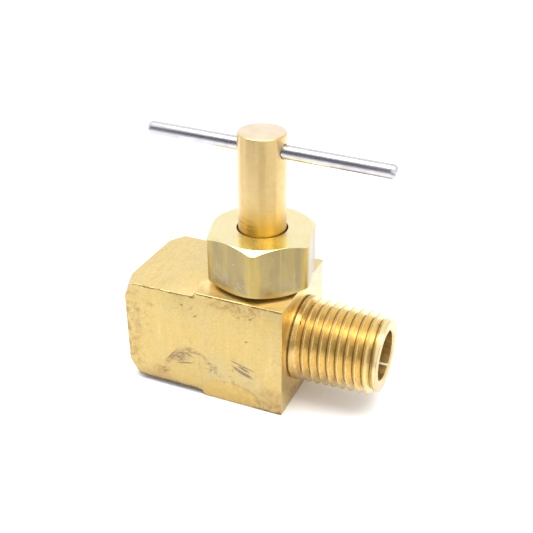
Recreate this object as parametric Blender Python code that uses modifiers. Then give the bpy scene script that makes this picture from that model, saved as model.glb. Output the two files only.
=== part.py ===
"""Brass needle valve with a T-handle, modelled in Blender as separate working pieces.

Units are metres.  The frame: X runs along the pipe axis, with the male thread towards +X and the
female port towards -X, Y runs through the block from front to back and Z is up along the stem.
The origin is on the underside of the body, straight below the stem.

Turning the stem anticlockwise (seen from above) screws it upwards out of the body, so that its
needle leaves the seat.  The packing nut screws on the body's neck and presses the gland follower
down on the packing.
"""

import math

import bmesh
import bpy
from mathutils import Matrix

MM = 0.001

# ---------------------------------------------------------------- driving dimensions
GAP = 0.3 * MM          # left between pieces that rest on each other
RUN = 0.1 * MM          # radial clearance of turning and threaded pieces
FIT = 0.07 * MM         # radial clearance of the bar in the stem's cross hole

# body block: two stretches of one milled bar, the female end slightly thinner
BODY_WIDTH = 18.0 * MM
BODY_HEIGHT = 19.45 * MM
FEMALE_TOP = 18.63 * MM
FEMALE_BOTTOM = 0.88 * MM
FEMALE_END_X = -20.56 * MM
MALE_FACE_X = 7.08 * MM
TOP_STEP_X = -7.6 * MM
TOP_STEP_RUN = 0.45 * MM        # steep part of the step, down to TOP_RAMP_RISE over the ramp's foot
TOP_RAMP_X = -10.3 * MM
TOP_RAMP_RISE = 0.17 * MM
BOTTOM_STEP_X = -6.7 * MM
BOTTOM_STEP_RUN = 0.4 * MM
EDGE_BREAK = 0.15 * MM
PIPE_Z = 9.725 * MM
END_CHAMFER_RADIUS = 10.82 * MM

# 1/4-18 NPT pipe threads: taper 1 in 16 on diameter
NPT_PITCH = 25.4 / 18.0 * MM
NPT_TAPER = 1.0 / 32.0
NPT_DEPTH = 1.0 * MM
MALE_RADIUS = 6.96 * MM         # over the crests, at the block's face
MALE_LENGTH = 14.05 * MM
MALE_COLLAR = 0.95 * MM         # plain stretch between the face and the first groove
MALE_RUN_IN = 0.4 * MM          # over which the first groove reaches its depth
MALE_RUN_OUT = 0.9 * MM         # over which the last groove leaves at the tip
MALE_TIP_RADIUS = 6.1 * MM
MALE_LEAD_SLOPE = 0.6           # of the turned lead, radius over length
MALE_PHASE = 0.026 * MM         # of a crest from the face, on the right of the stem
MALE_FLATS = (0.3 * MM, 0.2 * MM)
MALE_BORE = 4.08 * MM
MALE_BORE_END_X = 7.4 * MM
MALE_COUNTERSINK = 0.2 * MM
FEMALE_RADIUS = 6.86 * MM       # groove bottoms, at the mouth
FEMALE_THREAD_LENGTH = 10.8 * MM
FEMALE_DRILL_RADIUS = 5.35 * MM
FEMALE_DRILL_END_X = -8.0 * MM
FEMALE_MOUTH_RADIUS = 7.3 * MM
FEMALE_RUN_IN = 0.8 * MM
FEMALE_RUN_OUT = 1.2 * MM
FEMALE_FLATS = (0.3 * MM, 0.3 * MM)

# flow path through the seat
ORIFICE_RADIUS = 1.25 * MM
SEAT_Z = 9.0 * MM
LOW_PASSAGE_Z = 6.4 * MM
LOW_PASSAGE_RADIUS = 1.5 * MM
HIGH_PASSAGE_Z = 11.2 * MM
HIGH_PASSAGE_RADIUS = 1.6 * MM
PASSAGE_LAP = 0.6 * MM          # how far a passage runs into the next hollow

# stem, its thread and its bores in the body
STEM_RADIUS = 3.75 * MM
STEM_TOP = 43.94 * MM
STEM_TOP_CHAMFER = 0.35 * MM
STEM_SHOULDER_Z = 16.0 * MM
STEM_PITCH = 1.0 * MM
STEM_THREAD_RADIUS = 3.4 * MM
STEM_THREAD_DEPTH = 0.55 * MM
STEM_THREAD_BOTTOM = 11.0 * MM
STEM_THREAD_TOP = 15.7 * MM
STEM_RUN_IN = 0.6 * MM
STEM_FLATS = (0.15 * MM, 0.3 * MM)
TAPPED_FLATS = (0.27 * MM, 0.18 * MM)
NEEDLE_HALF_ANGLE = math.radians(25.0)
NEEDLE_NECK_RADIUS = 1.9 * MM
NEEDLE_TIP_RADIUS = 0.3 * MM
NEEDLE_SEAT_RADIUS = 1.15 * MM  # of the cone at the level of the seat, valve closed
TAPPED_BOTTOM = 9.7 * MM
TAPPED_TOP = 15.7 * MM
TAPPED_RUN_OUT = 0.4 * MM
SMOOTH_BORE_RADIUS = 3.9 * MM
O_RING_Z = 17.5 * MM
O_RING_SECTION = 0.36 * MM
O_RING_RADIUS = 3.42 * MM
O_RING_GROOVE_RADIUS = 2.95 * MM
O_RING_GROOVE_HALF = 0.55 * MM

# neck, stuffing box and packing
NECK_TOP = 25.05 * MM
NECK_RADIUS = 6.35 * MM
NECK_PITCH = 1.27 * MM
NECK_DEPTH = 0.65 * MM
NECK_RELIEF = 0.3 * MM          # plain foot under the neck's first thread
NECK_RUN_OUT = 0.5 * MM
NECK_FLATS = (0.2 * MM, 0.34 * MM)
BOX_RADIUS = 4.95 * MM
BOX_FLOOR = 21.2 * MM
WASHER_THICK = 0.5 * MM
PACKING_THICK = 0.8 * MM
FOLLOWER_FLANGE_RADIUS = 5.5 * MM
FOLLOWER_FLANGE = 0.65 * MM

# packing nut
NUT_FLATS = 15.875 * MM
NUT_BOTTOM = 19.98 * MM
NUT_TOP = 28.32 * MM
NUT_CEILING = 26.3 * MM
NUT_BORE = 4.1 * MM
NUT_TURN = math.radians(13.35)  # of a corner from the front, towards +X
NUT_CHAMFER = math.radians(30.0)
NUT_CHAMFER_INSET = 0.05 * MM   # of the chamfer's start inside the flats
NUT_RUN_IN = 0.6 * MM
NUT_RUN_OUT = 0.4 * MM
NUT_LEAD = 0.8 * MM             # of the countersink under the nut, over the bore
NUT_FLATS_OF_THREAD = (0.36 * MM, 0.18 * MM)

# T-handle bar
BAR_RADIUS = 1.105 * MM
BAR_LENGTH = 40.9 * MM
BAR_Z = 41.39 * MM
BAR_OFFSET = 0.68 * MM          # of its middle from the stem axis
BAR_TURN = math.radians(-3.4)   # about Z, from the pipe axis
BAR_END_ROUND = 0.5 * MM

# sides of the round pieces
ROUND = 40
CONE_SIDES = 72
MALE_THREAD_SIDES = 32
BODY_THREAD_SIDES = 24
TAPPED_SIDES = 20
PASSAGE_SIDES = 20
BORE_SIDES = 36
BAR_SIDES = 24

OVERSHOOT = 1.0 * MM            # how far a tool reaches past the faces that it cuts
DRILL_HALF_ANGLE = math.radians(59.0)
THREAD_SNAP = 0.06 * MM         # turns nearer than this to a thread's end are drawn to it
WELD = 0.001 * MM               # distance under which vertices are merged
SMOOTH_ANGLE = math.radians(32.0)

COLLECTION = "needle_valve"


# ---------------------------------------------------------------- scene helpers
def clear_scene():
    for obj in list(bpy.data.objects):
        bpy.data.objects.remove(obj, do_unlink=True)
    for coll in list(bpy.data.collections):
        bpy.data.collections.remove(coll)


def new_collection(name):
    coll = bpy.data.collections.new(name)
    bpy.context.scene.collection.children.link(coll)
    return coll


def make_material(name, colour, metallic, roughness):
    mat = bpy.data.materials.new(name)
    mat.use_nodes = True
    shader = mat.node_tree.nodes["Principled BSDF"]
    shader.inputs["Base Color"].default_value = (*colour, 1.0)
    shader.inputs["Metallic"].default_value = metallic
    shader.inputs["Roughness"].default_value = roughness
    return mat


def new_object(name, mesh, coll):
    obj = bpy.data.objects.new(name, mesh)
    coll.objects.link(obj)
    return obj


def bake(obj):
    """Apply the modifiers and the placement, so that the origin is on the stem axis, and shade."""
    bpy.context.view_layer.update()
    graph = bpy.context.evaluated_depsgraph_get()
    mesh = bpy.data.meshes.new_from_object(obj.evaluated_get(graph))
    mesh.transform(obj.matrix_world)
    obj.modifiers.clear()
    obj.data = mesh
    obj.matrix_world = Matrix.Identity(4)
    mesh.shade_smooth()
    mesh.set_sharp_from_angle(angle=SMOOTH_ANGLE)


def boolean(obj, tool, operation):
    """Apply an exact Boolean and weld the slivers that it leaves."""
    mod = obj.modifiers.new(operation.lower(), "BOOLEAN")
    mod.operation = operation
    mod.solver = "EXACT"
    mod.object = tool
    bake(obj)
    bm = bmesh.new()
    bm.from_mesh(obj.data)
    bmesh.ops.remove_doubles(bm, verts=bm.verts[:], dist=WELD)
    bmesh.ops.dissolve_degenerate(bm, edges=bm.edges[:], dist=WELD)
    bmesh.ops.triangulate(bm, faces=bm.faces[:])
    bm.to_mesh(obj.data)
    bm.free()


def paint(obj, mat):
    obj.data.materials.clear()
    obj.data.materials.append(mat)


# ---------------------------------------------------------------- shape helpers
def turned(name, profile, coll, sides=ROUND, along_x=False, closed=False):
    """Turned solid: (radius, height) pairs, top to bottom down the outer side."""
    mesh = bpy.data.meshes.new(name)
    verts = [(r, 0.0, z) for r, z in profile]
    edges = [(i, i + 1) for i in range(len(verts) - 1)]
    if closed:
        edges.append((len(verts) - 1, 0))
    mesh.from_pydata(verts, edges, [])
    obj = new_object(name, mesh, coll)
    screw = obj.modifiers.new("turn", "SCREW")
    screw.axis = "Z"
    screw.steps = sides
    screw.render_steps = sides
    screw.use_merge_vertices = True
    screw.merge_threshold = 0.00001
    if along_x:
        obj.rotation_euler = (0.0, math.pi / 2.0, 0.0)
        obj.location = (0.0, 0.0, PIPE_Z)
    return obj


def rod(name, radius, low, high, coll, along_x=False, sides=ROUND, z=PIPE_Z):
    """Plain round rod between two stations on the stem axis or the pipe axis."""
    mesh = bpy.data.meshes.new(name)
    bm = bmesh.new()
    bmesh.ops.create_cone(bm, cap_ends=True, segments=sides, radius1=radius, radius2=radius,
                          depth=high - low)
    bm.to_mesh(mesh)
    bm.free()
    obj = new_object(name, mesh, coll)
    middle = (low + high) / 2.0
    if along_x:
        obj.rotation_euler = (0.0, math.pi / 2.0, 0.0)
        obj.location = (middle, 0.0, z)
    else:
        obj.location = (0.0, 0.0, middle)
    return obj


def fade(value, low, high):
    """0 below `low`, 1 above `high`, straight between them."""
    return min(1.0, max(0.0, (value - low) / (high - low)))


def threaded(name, span, radii, pitch, phase, flats, coll, sides, below=(), above=(),
             along_x=False):
    """Turned solid with a right-hand helical thread over span = (low, high) of its axis.

    radii holds two functions of height: the crest's radius and the root's.  They agree at both
    ends of the span, so that the ridge has died out there.  flats holds the widths of the crest
    and of the root.  below and above list the (radius, height) stations of the plain turned
    stretches before and after the thread, going up the axis.
    """
    low, high = span
    crest_flat, root_flat = flats
    steps = (-crest_flat / 2.0, crest_flat / 2.0,
             (pitch - root_flat) / 2.0, (pitch + root_flat) / 2.0)
    first = math.floor((low - phase) / pitch) - 2
    rows = 4 * (math.ceil((high - low) / pitch) + 5)
    turns = [2.0 * math.pi * j / sides for j in range(sides)]

    bm = bmesh.new()

    def ring(radius, heights):
        return [bm.verts.new((r * math.cos(a), r * math.sin(a), h))
                for a, h, r in zip(turns, heights, radius)]

    def skin(lower, upper):
        for j in range(sides):
            k = (j + 1) % sides
            bm.faces.new((lower[j], lower[k], upper[k], upper[j]))

    grid = []
    for row in range(rows + 4):
        base = phase + (first + row // 4) * pitch + steps[row % 4]
        radius_at = radii[1] if row % 4 > 1 else radii[0]
        heights = []
        for j in range(sides):
            height = base + pitch * j / sides
            if height < low + THREAD_SNAP:
                height = low
            if height > high - THREAD_SNAP:
                height = high
            heights.append(height)
        grid.append(ring([radius_at(h) for h in heights], heights))
    for row in range(rows - 1):
        for j in range(sides):
            if j + 1 < sides:
                right, above_right = grid[row][j + 1], grid[row + 1][j + 1]
            else:
                right, above_right = grid[row + 4][0], grid[row + 5][0]
            bm.faces.new((grid[row][j], right, above_right, grid[row + 1][j]))

    plain = [ring([r] * sides, [h] * sides) for r, h in below]
    plain.append(ring([radii[0](low)] * sides, [low] * sides))
    for lower, upper in zip(plain, plain[1:]):
        skin(lower, upper)
    plain = [ring([radii[0](high)] * sides, [high] * sides)]
    plain += [ring([r] * sides, [h] * sides) for r, h in above]
    for lower, upper in zip(plain, plain[1:]):
        skin(lower, upper)

    bmesh.ops.remove_doubles(bm, verts=bm.verts[:], dist=WELD)
    loose = [v for v in bm.verts if not v.link_faces]
    bmesh.ops.delete(bm, geom=loose, context="VERTS")
    rim = [e for e in bm.edges if e.is_boundary]
    bmesh.ops.holes_fill(bm, edges=rim, sides=0)
    bmesh.ops.triangulate(bm, faces=bm.faces[:])
    bmesh.ops.recalc_face_normals(bm, faces=bm.faces[:])
    mesh = bpy.data.meshes.new(name)
    bm.to_mesh(mesh)
    bm.free()
    obj = new_object(name, mesh, coll)
    if along_x:
        obj.rotation_euler = (0.0, math.pi / 2.0, 0.0)
        obj.location = (0.0, 0.0, PIPE_Z)
    return obj


# ---------------------------------------------------------------- body
def block(coll):
    """Side outline of the bar, extruded across its width."""
    outline = [
        (FEMALE_END_X, FEMALE_BOTTOM),
        (BOTTOM_STEP_X - BOTTOM_STEP_RUN, FEMALE_BOTTOM),
        (BOTTOM_STEP_X, 0.0),
        (MALE_FACE_X, 0.0),
        (MALE_FACE_X, BODY_HEIGHT),
        (TOP_STEP_X, BODY_HEIGHT),
        (TOP_STEP_X - TOP_STEP_RUN, FEMALE_TOP + TOP_RAMP_RISE),
        (TOP_RAMP_X, FEMALE_TOP),
        (FEMALE_END_X, FEMALE_TOP),
    ]
    curve = bpy.data.curves.new("block_outline", "CURVE")
    curve.dimensions = "2D"
    curve.fill_mode = "BOTH"
    curve.extrude = BODY_WIDTH / 2.0
    spline = curve.splines.new("POLY")
    spline.points.add(len(outline) - 1)
    for point, (x, z) in zip(spline.points, outline):
        point.co = (x, z, 0.0, 1.0)
    spline.use_cyclic_u = True
    guide = bpy.data.objects.new("block_outline", curve)
    coll.objects.link(guide)
    guide.rotation_euler = (math.pi / 2.0, 0.0, 0.0)
    bpy.context.view_layer.update()
    graph = bpy.context.evaluated_depsgraph_get()
    mesh = bpy.data.meshes.new_from_object(guide.evaluated_get(graph))
    mesh.transform(guide.matrix_world)
    bpy.data.objects.remove(guide, do_unlink=True)
    bm = bmesh.new()
    bm.from_mesh(mesh)
    bmesh.ops.remove_doubles(bm, verts=bm.verts[:], dist=WELD)
    bmesh.ops.recalc_face_normals(bm, faces=bm.faces[:])
    bm.to_mesh(mesh)
    bm.free()
    obj = new_object("body", mesh, coll)
    bevel = obj.modifiers.new("edge_break", "BEVEL")
    bevel.width = EDGE_BREAK
    bevel.segments = 1
    bevel.limit_method = "ANGLE"
    bevel.angle_limit = math.radians(60.0)
    return obj


def male_thread(coll):
    """Tapered pipe thread with a plain collar at the block and a turned lead at its tip."""
    start = MALE_FACE_X
    tip = start + MALE_LENGTH

    def crest(x):
        lead = MALE_TIP_RADIUS + MALE_LEAD_SLOPE * (tip - x)
        return min(lead, MALE_RADIUS - (x - start) * NPT_TAPER)

    def root(x):
        cut = fade(x, start + MALE_COLLAR, start + MALE_COLLAR + MALE_RUN_IN)
        cut *= 1.0 - fade(x, tip - MALE_RUN_OUT, tip - RUN)
        return crest(x) - NPT_DEPTH * cut

    return threaded("male_thread", (start - OVERSHOOT, tip), (crest, root), NPT_PITCH,
                    start + MALE_PHASE, MALE_FLATS, coll, MALE_THREAD_SIDES, along_x=True)


def female_thread(coll):
    """The hollow of the tapered female port: countersink, threads, drill hole and drill point."""
    mouth = FEMALE_END_X
    begin = mouth + (FEMALE_MOUTH_RADIUS - FEMALE_RADIUS)
    end = mouth + FEMALE_THREAD_LENGTH
    blunt = 0.02
    point = FEMALE_DRILL_RADIUS / math.tan(DRILL_HALF_ANGLE)

    def full(x):
        return FEMALE_RADIUS - (x - mouth) * NPT_TAPER

    def land(x):
        return full(x) - NPT_DEPTH * fade(x, begin, begin + FEMALE_RUN_IN)

    def groove(x):
        return full(x) - NPT_DEPTH * fade(x, end - FEMALE_RUN_OUT, end)

    below = [
        (FEMALE_MOUTH_RADIUS + OVERSHOOT, mouth - OVERSHOOT),
    ]
    above = [
        (FEMALE_DRILL_RADIUS, end + 2.0 * RUN),
        (FEMALE_DRILL_RADIUS, FEMALE_DRILL_END_X),
        (blunt * FEMALE_DRILL_RADIUS, FEMALE_DRILL_END_X + (1.0 - blunt) * point),
    ]
    return threaded("female_thread", (begin, end), (groove, land), NPT_PITCH, mouth,
                    FEMALE_FLATS, coll, BODY_THREAD_SIDES, below, above, along_x=True)


def stem_hollow(coll):
    """Tapped hole over the seat, smooth bore for the O-ring and stuffing box for the packing."""
    land_radius = STEM_THREAD_RADIUS - STEM_THREAD_DEPTH + RUN

    def land(z):
        return land_radius + STEM_THREAD_DEPTH * fade(z, TAPPED_TOP - TAPPED_RUN_OUT, TAPPED_TOP)

    def groove(z):
        return land_radius + STEM_THREAD_DEPTH * fade(z, TAPPED_BOTTOM, TAPPED_BOTTOM + STEM_RUN_IN)

    above = [
        (SMOOTH_BORE_RADIUS, TAPPED_TOP),
        (SMOOTH_BORE_RADIUS, BOX_FLOOR),
        (BOX_RADIUS, BOX_FLOOR),
        (BOX_RADIUS, NECK_TOP + OVERSHOOT),
    ]
    return threaded("stem_hollow", (TAPPED_BOTTOM, TAPPED_TOP), (groove, land), STEM_PITCH, 0.0,
                    TAPPED_FLATS, coll, TAPPED_SIDES, [(land_radius, SEAT_Z)], above)


def make_neck(coll):
    """Threaded neck that the packing nut screws on, with a relief at its foot."""
    relief = NECK_RADIUS - NECK_DEPTH
    begin = BODY_HEIGHT + NECK_RELIEF

    def root(z):
        return relief

    def crest(z):
        ridge = fade(z, begin, begin + NECK_RUN_OUT)
        ridge *= 1.0 - fade(z, NECK_TOP - NECK_RUN_OUT, NECK_TOP)
        return relief + NECK_DEPTH * ridge

    foot = [(relief, BODY_HEIGHT - OVERSHOOT)]
    return threaded("neck", (begin, NECK_TOP), (crest, root), NECK_PITCH, 0.0, NECK_FLATS, coll,
                    BODY_THREAD_SIDES, foot)


def end_cone(coll):
    """What the lathe leaves of the bar at the female end: everything inside a 45 degree cone."""
    far = 2.0 * MALE_LENGTH
    reach = 1.5 * BODY_WIDTH
    profile = [
        (0.0, far),
        (reach, far),
        (reach, FEMALE_END_X + reach - END_CHAMFER_RADIUS),
        (END_CHAMFER_RADIUS - OVERSHOOT, FEMALE_END_X - OVERSHOOT),
        (0.0, FEMALE_END_X - OVERSHOOT),
    ]
    return turned("end_cone", profile, coll, CONE_SIDES, along_x=True)


def male_bore(coll):
    """Drilled bore of the male end, with its drill point and a small countersink."""
    point = MALE_BORE / math.tan(DRILL_HALF_ANGLE)
    tip = MALE_FACE_X + MALE_LENGTH
    profile = [
        (0.0, tip + OVERSHOOT),
        (MALE_BORE + OVERSHOOT + MALE_COUNTERSINK, tip + OVERSHOOT),
        (MALE_BORE, tip - MALE_COUNTERSINK),
        (MALE_BORE, MALE_BORE_END_X),
        (0.0, MALE_BORE_END_X - point),
    ]
    return turned("male_bore", profile, coll, BORE_SIDES, along_x=True)


def make_body(coll, tools, brass):
    """Block with its two pipe ends and its neck, then every hollow in the order it is drilled."""
    body = block(coll)
    boolean(body, end_cone(tools), "INTERSECT")
    boolean(body, male_thread(tools), "UNION")
    boolean(body, make_neck(tools), "UNION")
    boolean(body, female_thread(tools), "DIFFERENCE")
    boolean(body, stem_hollow(tools), "DIFFERENCE")
    boolean(body, male_bore(tools), "DIFFERENCE")
    boolean(body, rod("high_passage", HIGH_PASSAGE_RADIUS, 0.0, MALE_BORE_END_X + PASSAGE_LAP,
                      tools, along_x=True, sides=PASSAGE_SIDES, z=HIGH_PASSAGE_Z), "DIFFERENCE")
    boolean(body, rod("low_passage", LOW_PASSAGE_RADIUS, FEMALE_DRILL_END_X - PASSAGE_LAP,
                      LOW_PASSAGE_RADIUS + RUN, tools, along_x=True, sides=PASSAGE_SIDES,
                      z=LOW_PASSAGE_Z), "DIFFERENCE")
    boolean(body, rod("orifice", ORIFICE_RADIUS, LOW_PASSAGE_Z, SEAT_Z + PASSAGE_LAP, tools,
                      sides=PASSAGE_SIDES), "DIFFERENCE")
    bake(body)
    paint(body, brass)
    return body


# ---------------------------------------------------------------- stem and handle
def make_stem(coll, tools, brass):
    """Shank, O-ring groove, thread and needle in one turned piece, cross-drilled for the bar."""
    slope = math.tan(NEEDLE_HALF_ANGLE)
    cone_top = SEAT_Z + (NEEDLE_NECK_RADIUS - NEEDLE_SEAT_RADIUS) / slope
    tip_z = SEAT_Z - (NEEDLE_SEAT_RADIUS - NEEDLE_TIP_RADIUS) / slope
    core = STEM_THREAD_RADIUS - STEM_THREAD_DEPTH
    end = STEM_THREAD_TOP
    groove_top = O_RING_Z + O_RING_GROOVE_HALF
    groove_bottom = O_RING_Z - O_RING_GROOVE_HALF

    def root(z):
        return core

    def crest(z):
        ridge = fade(z, STEM_THREAD_BOTTOM, STEM_THREAD_BOTTOM + STEM_RUN_IN)
        return core + STEM_THREAD_DEPTH * ridge * (1.0 - fade(z, end - STEM_RUN_IN, end))

    below = [
        (NEEDLE_TIP_RADIUS, tip_z),
        (NEEDLE_NECK_RADIUS, cone_top),
        (NEEDLE_NECK_RADIUS, STEM_THREAD_BOTTOM - GAP),
    ]
    above = [
        (core, STEM_SHOULDER_Z),
        (STEM_RADIUS, STEM_SHOULDER_Z),
        (STEM_RADIUS, groove_bottom),
        (O_RING_GROOVE_RADIUS, groove_bottom),
        (O_RING_GROOVE_RADIUS, groove_top),
        (STEM_RADIUS, groove_top),
        (STEM_RADIUS, STEM_TOP - STEM_TOP_CHAMFER),
        (STEM_RADIUS - STEM_TOP_CHAMFER, STEM_TOP),
    ]
    stem = threaded("stem", (STEM_THREAD_BOTTOM, end), (crest, root), STEM_PITCH, 0.0,
                    STEM_FLATS, coll, MALE_THREAD_SIDES, below, above)
    reach = 1.5 * STEM_RADIUS
    hole = rod("cross_hole", BAR_RADIUS + FIT, -reach, reach, tools, along_x=True,
               sides=BAR_SIDES, z=BAR_Z)
    hole.rotation_euler = (0.0, math.pi / 2.0, BAR_TURN)
    boolean(stem, hole, "DIFFERENCE")
    bake(stem)
    paint(stem, brass)
    return stem


def make_bar(coll, steel, stem):
    """Plain bar with rounded ends, pushed through the stem."""
    mesh = bpy.data.meshes.new("t_handle_bar")
    bm = bmesh.new()
    bmesh.ops.create_cone(bm, cap_ends=True, segments=BAR_SIDES, radius1=BAR_RADIUS,
                          radius2=BAR_RADIUS, depth=BAR_LENGTH)
    bm.to_mesh(mesh)
    bm.free()
    bar = new_object("t_handle_bar", mesh, coll)
    bevel = bar.modifiers.new("end_round", "BEVEL")
    bevel.width = BAR_END_ROUND
    bevel.segments = 2
    bevel.limit_method = "ANGLE"
    bevel.angle_limit = math.radians(60.0)
    bar.rotation_euler = (0.0, math.pi / 2.0, BAR_TURN)
    bar.location = (BAR_OFFSET * math.cos(BAR_TURN), BAR_OFFSET * math.sin(BAR_TURN), BAR_Z)
    bake(bar)
    paint(bar, steel)
    bar.parent = stem
    return bar


# ---------------------------------------------------------------- nut, gland and packing
def nut_hollow(coll):
    """Lead, thread and relief of the nut, and the plain hole that the stem comes out of."""
    bore = NECK_RADIUS + RUN
    begin = NUT_BOTTOM + NUT_LEAD - OVERSHOOT / 2.0
    end = NECK_TOP - RUN

    def land(z):
        depth = fade(z, begin, begin + NUT_RUN_IN) * (1.0 - fade(z, end - NUT_RUN_OUT, end))
        return bore - NECK_DEPTH * depth

    def groove(z):
        return bore

    below = [
        (bore + NUT_LEAD, NUT_BOTTOM - OVERSHOOT / 2.0),
    ]
    above = [
        (bore, NUT_CEILING),
        (NUT_BORE, NUT_CEILING),
        (NUT_BORE, NUT_TOP + OVERSHOOT),
    ]
    return threaded("nut_hollow", (begin, end), (groove, land), NECK_PITCH, 0.0,
                    NUT_FLATS_OF_THREAD, coll, BODY_THREAD_SIDES, below, above)


def nut_chamfers(coll):
    """Both chamfers of the hexagon: what is left of it inside two blunt cones."""
    reach = 2.0 * MM
    drop = reach * math.tan(NUT_CHAMFER)
    inner = NUT_FLATS / 2.0 - NUT_CHAMFER_INSET
    narrow = inner - OVERSHOOT / math.tan(NUT_CHAMFER)
    profile = [
        (0.0, NUT_TOP + OVERSHOOT),
        (narrow, NUT_TOP + OVERSHOOT),
        (inner + reach, NUT_TOP - drop),
        (inner + reach, NUT_BOTTOM + drop),
        (narrow, NUT_BOTTOM - OVERSHOOT),
        (0.0, NUT_BOTTOM - OVERSHOOT),
    ]
    return turned("nut_chamfers", profile, coll, CONE_SIDES)


def make_nut(coll, tools, brass):
    """Hexagon with a corner turned NUT_TURN from the front."""
    corner = NUT_FLATS / 2.0 / math.cos(math.radians(30.0))
    mesh = bpy.data.meshes.new("packing_nut")
    bm = bmesh.new()
    bmesh.ops.create_cone(bm, cap_ends=True, segments=6, radius1=corner, radius2=corner,
                          depth=NUT_TOP - NUT_BOTTOM)
    bm.to_mesh(mesh)
    bm.free()
    nut = new_object("packing_nut", mesh, coll)
    nut.location = (0.0, 0.0, (NUT_TOP + NUT_BOTTOM) / 2.0)
    # a corner of the primitive points along -Y, which is the front
    nut.rotation_euler = (0.0, 0.0, NUT_TURN)
    boolean(nut, nut_chamfers(tools), "INTERSECT")
    boolean(nut, nut_hollow(tools), "DIFFERENCE")
    bake(nut)
    paint(nut, brass)
    return nut


def make_ring(name, inner, outer, low, high, coll, mat):
    profile = [(outer, high), (outer, low), (inner, low), (inner, high)]
    ring = turned(name, profile, coll, closed=True)
    bake(ring)
    paint(ring, mat)
    return ring


def make_packing(coll, brass, ptfe):
    """Backing washer and packing rings, in the order they are dropped in the stuffing box."""
    inner = STEM_RADIUS + RUN
    outer = BOX_RADIUS - RUN
    low = BOX_FLOOR + GAP
    make_ring("packing_washer", inner, outer, low, low + WASHER_THICK, coll, brass)
    low += WASHER_THICK + GAP
    for name in ("packing_ring_lower", "packing_ring_upper"):
        make_ring(name, inner, outer, low, low + PACKING_THICK, coll, ptfe)
        low += PACKING_THICK + GAP
    return low


def make_follower(coll, brass, low):
    """Flanged bush between the packing and the nut."""
    inner = STEM_RADIUS + RUN
    outer = BOX_RADIUS - RUN
    top = NUT_CEILING - GAP
    profile = [
        (FOLLOWER_FLANGE_RADIUS, top),
        (FOLLOWER_FLANGE_RADIUS, top - FOLLOWER_FLANGE),
        (outer, top - FOLLOWER_FLANGE),
        (outer, low),
        (inner, low),
        (inner, top),
    ]
    follower = turned("gland_follower", profile, coll, closed=True)
    bake(follower)
    paint(follower, brass)
    return follower


def make_o_ring(coll, rubber):
    """O-ring in the stem's groove, which rubs in the smooth bore."""
    bpy.ops.mesh.primitive_torus_add(major_radius=O_RING_RADIUS, minor_radius=O_RING_SECTION,
                                     major_segments=28, minor_segments=6,
                                     location=(0.0, 0.0, O_RING_Z))
    ring = bpy.context.active_object
    ring.name = "stem_o_ring"
    ring.data.name = "stem_o_ring"
    for other in list(ring.users_collection):
        other.objects.unlink(ring)
    coll.objects.link(ring)
    bake(ring)
    paint(ring, rubber)
    return ring


def main():
    clear_scene()
    coll = new_collection(COLLECTION)
    tools = new_collection("cutters")
    brass = make_material("brass", (0.80, 0.57, 0.22), 1.0, 0.32)
    nut_brass = make_material("nut_brass", (0.66, 0.55, 0.30), 1.0, 0.38)
    stem_brass = make_material("stem_brass", (0.86, 0.60, 0.24), 1.0, 0.2)
    steel = make_material("steel", (0.62, 0.61, 0.62), 1.0, 0.18)
    ptfe = make_material("ptfe", (0.88, 0.87, 0.83), 0.0, 0.5)
    rubber = make_material("rubber", (0.03, 0.03, 0.03), 0.0, 0.6)

    make_body(coll, tools, brass)
    stem = make_stem(coll, tools, stem_brass)
    make_bar(coll, steel, stem)
    make_o_ring(coll, rubber)
    make_nut(coll, tools, nut_brass)
    low = make_packing(coll, brass, ptfe)
    make_follower(coll, brass, low)

    for tool in list(tools.objects):
        bpy.data.objects.remove(tool, do_unlink=True)
    bpy.data.collections.remove(tools)


main()
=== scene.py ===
"""Looks of a brass needle valve with a T-handle: finer meshes, worn metal, studio and camera.

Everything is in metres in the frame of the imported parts: X is the pipe axis, with the male
thread towards +X, Y runs to the back and Z is up along the stem.  Finishes work in millimetres.
"""

import math

import bmesh
import bpy
from mathutils import Matrix, Vector


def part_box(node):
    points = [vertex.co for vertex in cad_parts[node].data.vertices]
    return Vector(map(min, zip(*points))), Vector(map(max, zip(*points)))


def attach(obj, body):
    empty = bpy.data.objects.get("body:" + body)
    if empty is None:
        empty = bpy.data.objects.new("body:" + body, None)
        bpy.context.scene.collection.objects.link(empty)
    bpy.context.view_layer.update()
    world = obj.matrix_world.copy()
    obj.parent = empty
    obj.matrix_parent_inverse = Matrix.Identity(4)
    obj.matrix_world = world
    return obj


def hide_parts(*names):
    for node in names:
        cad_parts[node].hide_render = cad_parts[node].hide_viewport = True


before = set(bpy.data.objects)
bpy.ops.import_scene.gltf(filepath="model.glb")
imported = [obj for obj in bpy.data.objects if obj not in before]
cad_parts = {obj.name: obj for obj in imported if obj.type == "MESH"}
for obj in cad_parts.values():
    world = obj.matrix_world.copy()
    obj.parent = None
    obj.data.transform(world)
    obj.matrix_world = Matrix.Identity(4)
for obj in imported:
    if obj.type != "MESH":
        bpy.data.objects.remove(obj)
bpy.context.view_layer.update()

MM = 0.001

# ---- sizes that the frame gives
BODY_LOW, BODY_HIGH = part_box("body")
NUT_LOW, NUT_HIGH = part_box("packing_nut")
STEM_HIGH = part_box("stem")[1]
BAR_LOW, BAR_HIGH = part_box("t_handle_bar")

FEMALE_END_X = BODY_LOW.x
MALE_TIP_X = BODY_HIGH.x
NECK_TOP = BODY_HIGH.z
BODY_WIDTH = BODY_HIGH.y - BODY_LOW.y
NUT_BOTTOM, NUT_TOP = NUT_LOW.z, NUT_HIGH.z
STEM_TOP = STEM_HIGH.z
STEM_RADIUS = STEM_HIGH.x
BAR_RADIUS = (BAR_HIGH.z - BAR_LOW.z) / 2.0
BAR_Z = (BAR_HIGH.z + BAR_LOW.z) / 2.0

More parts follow.
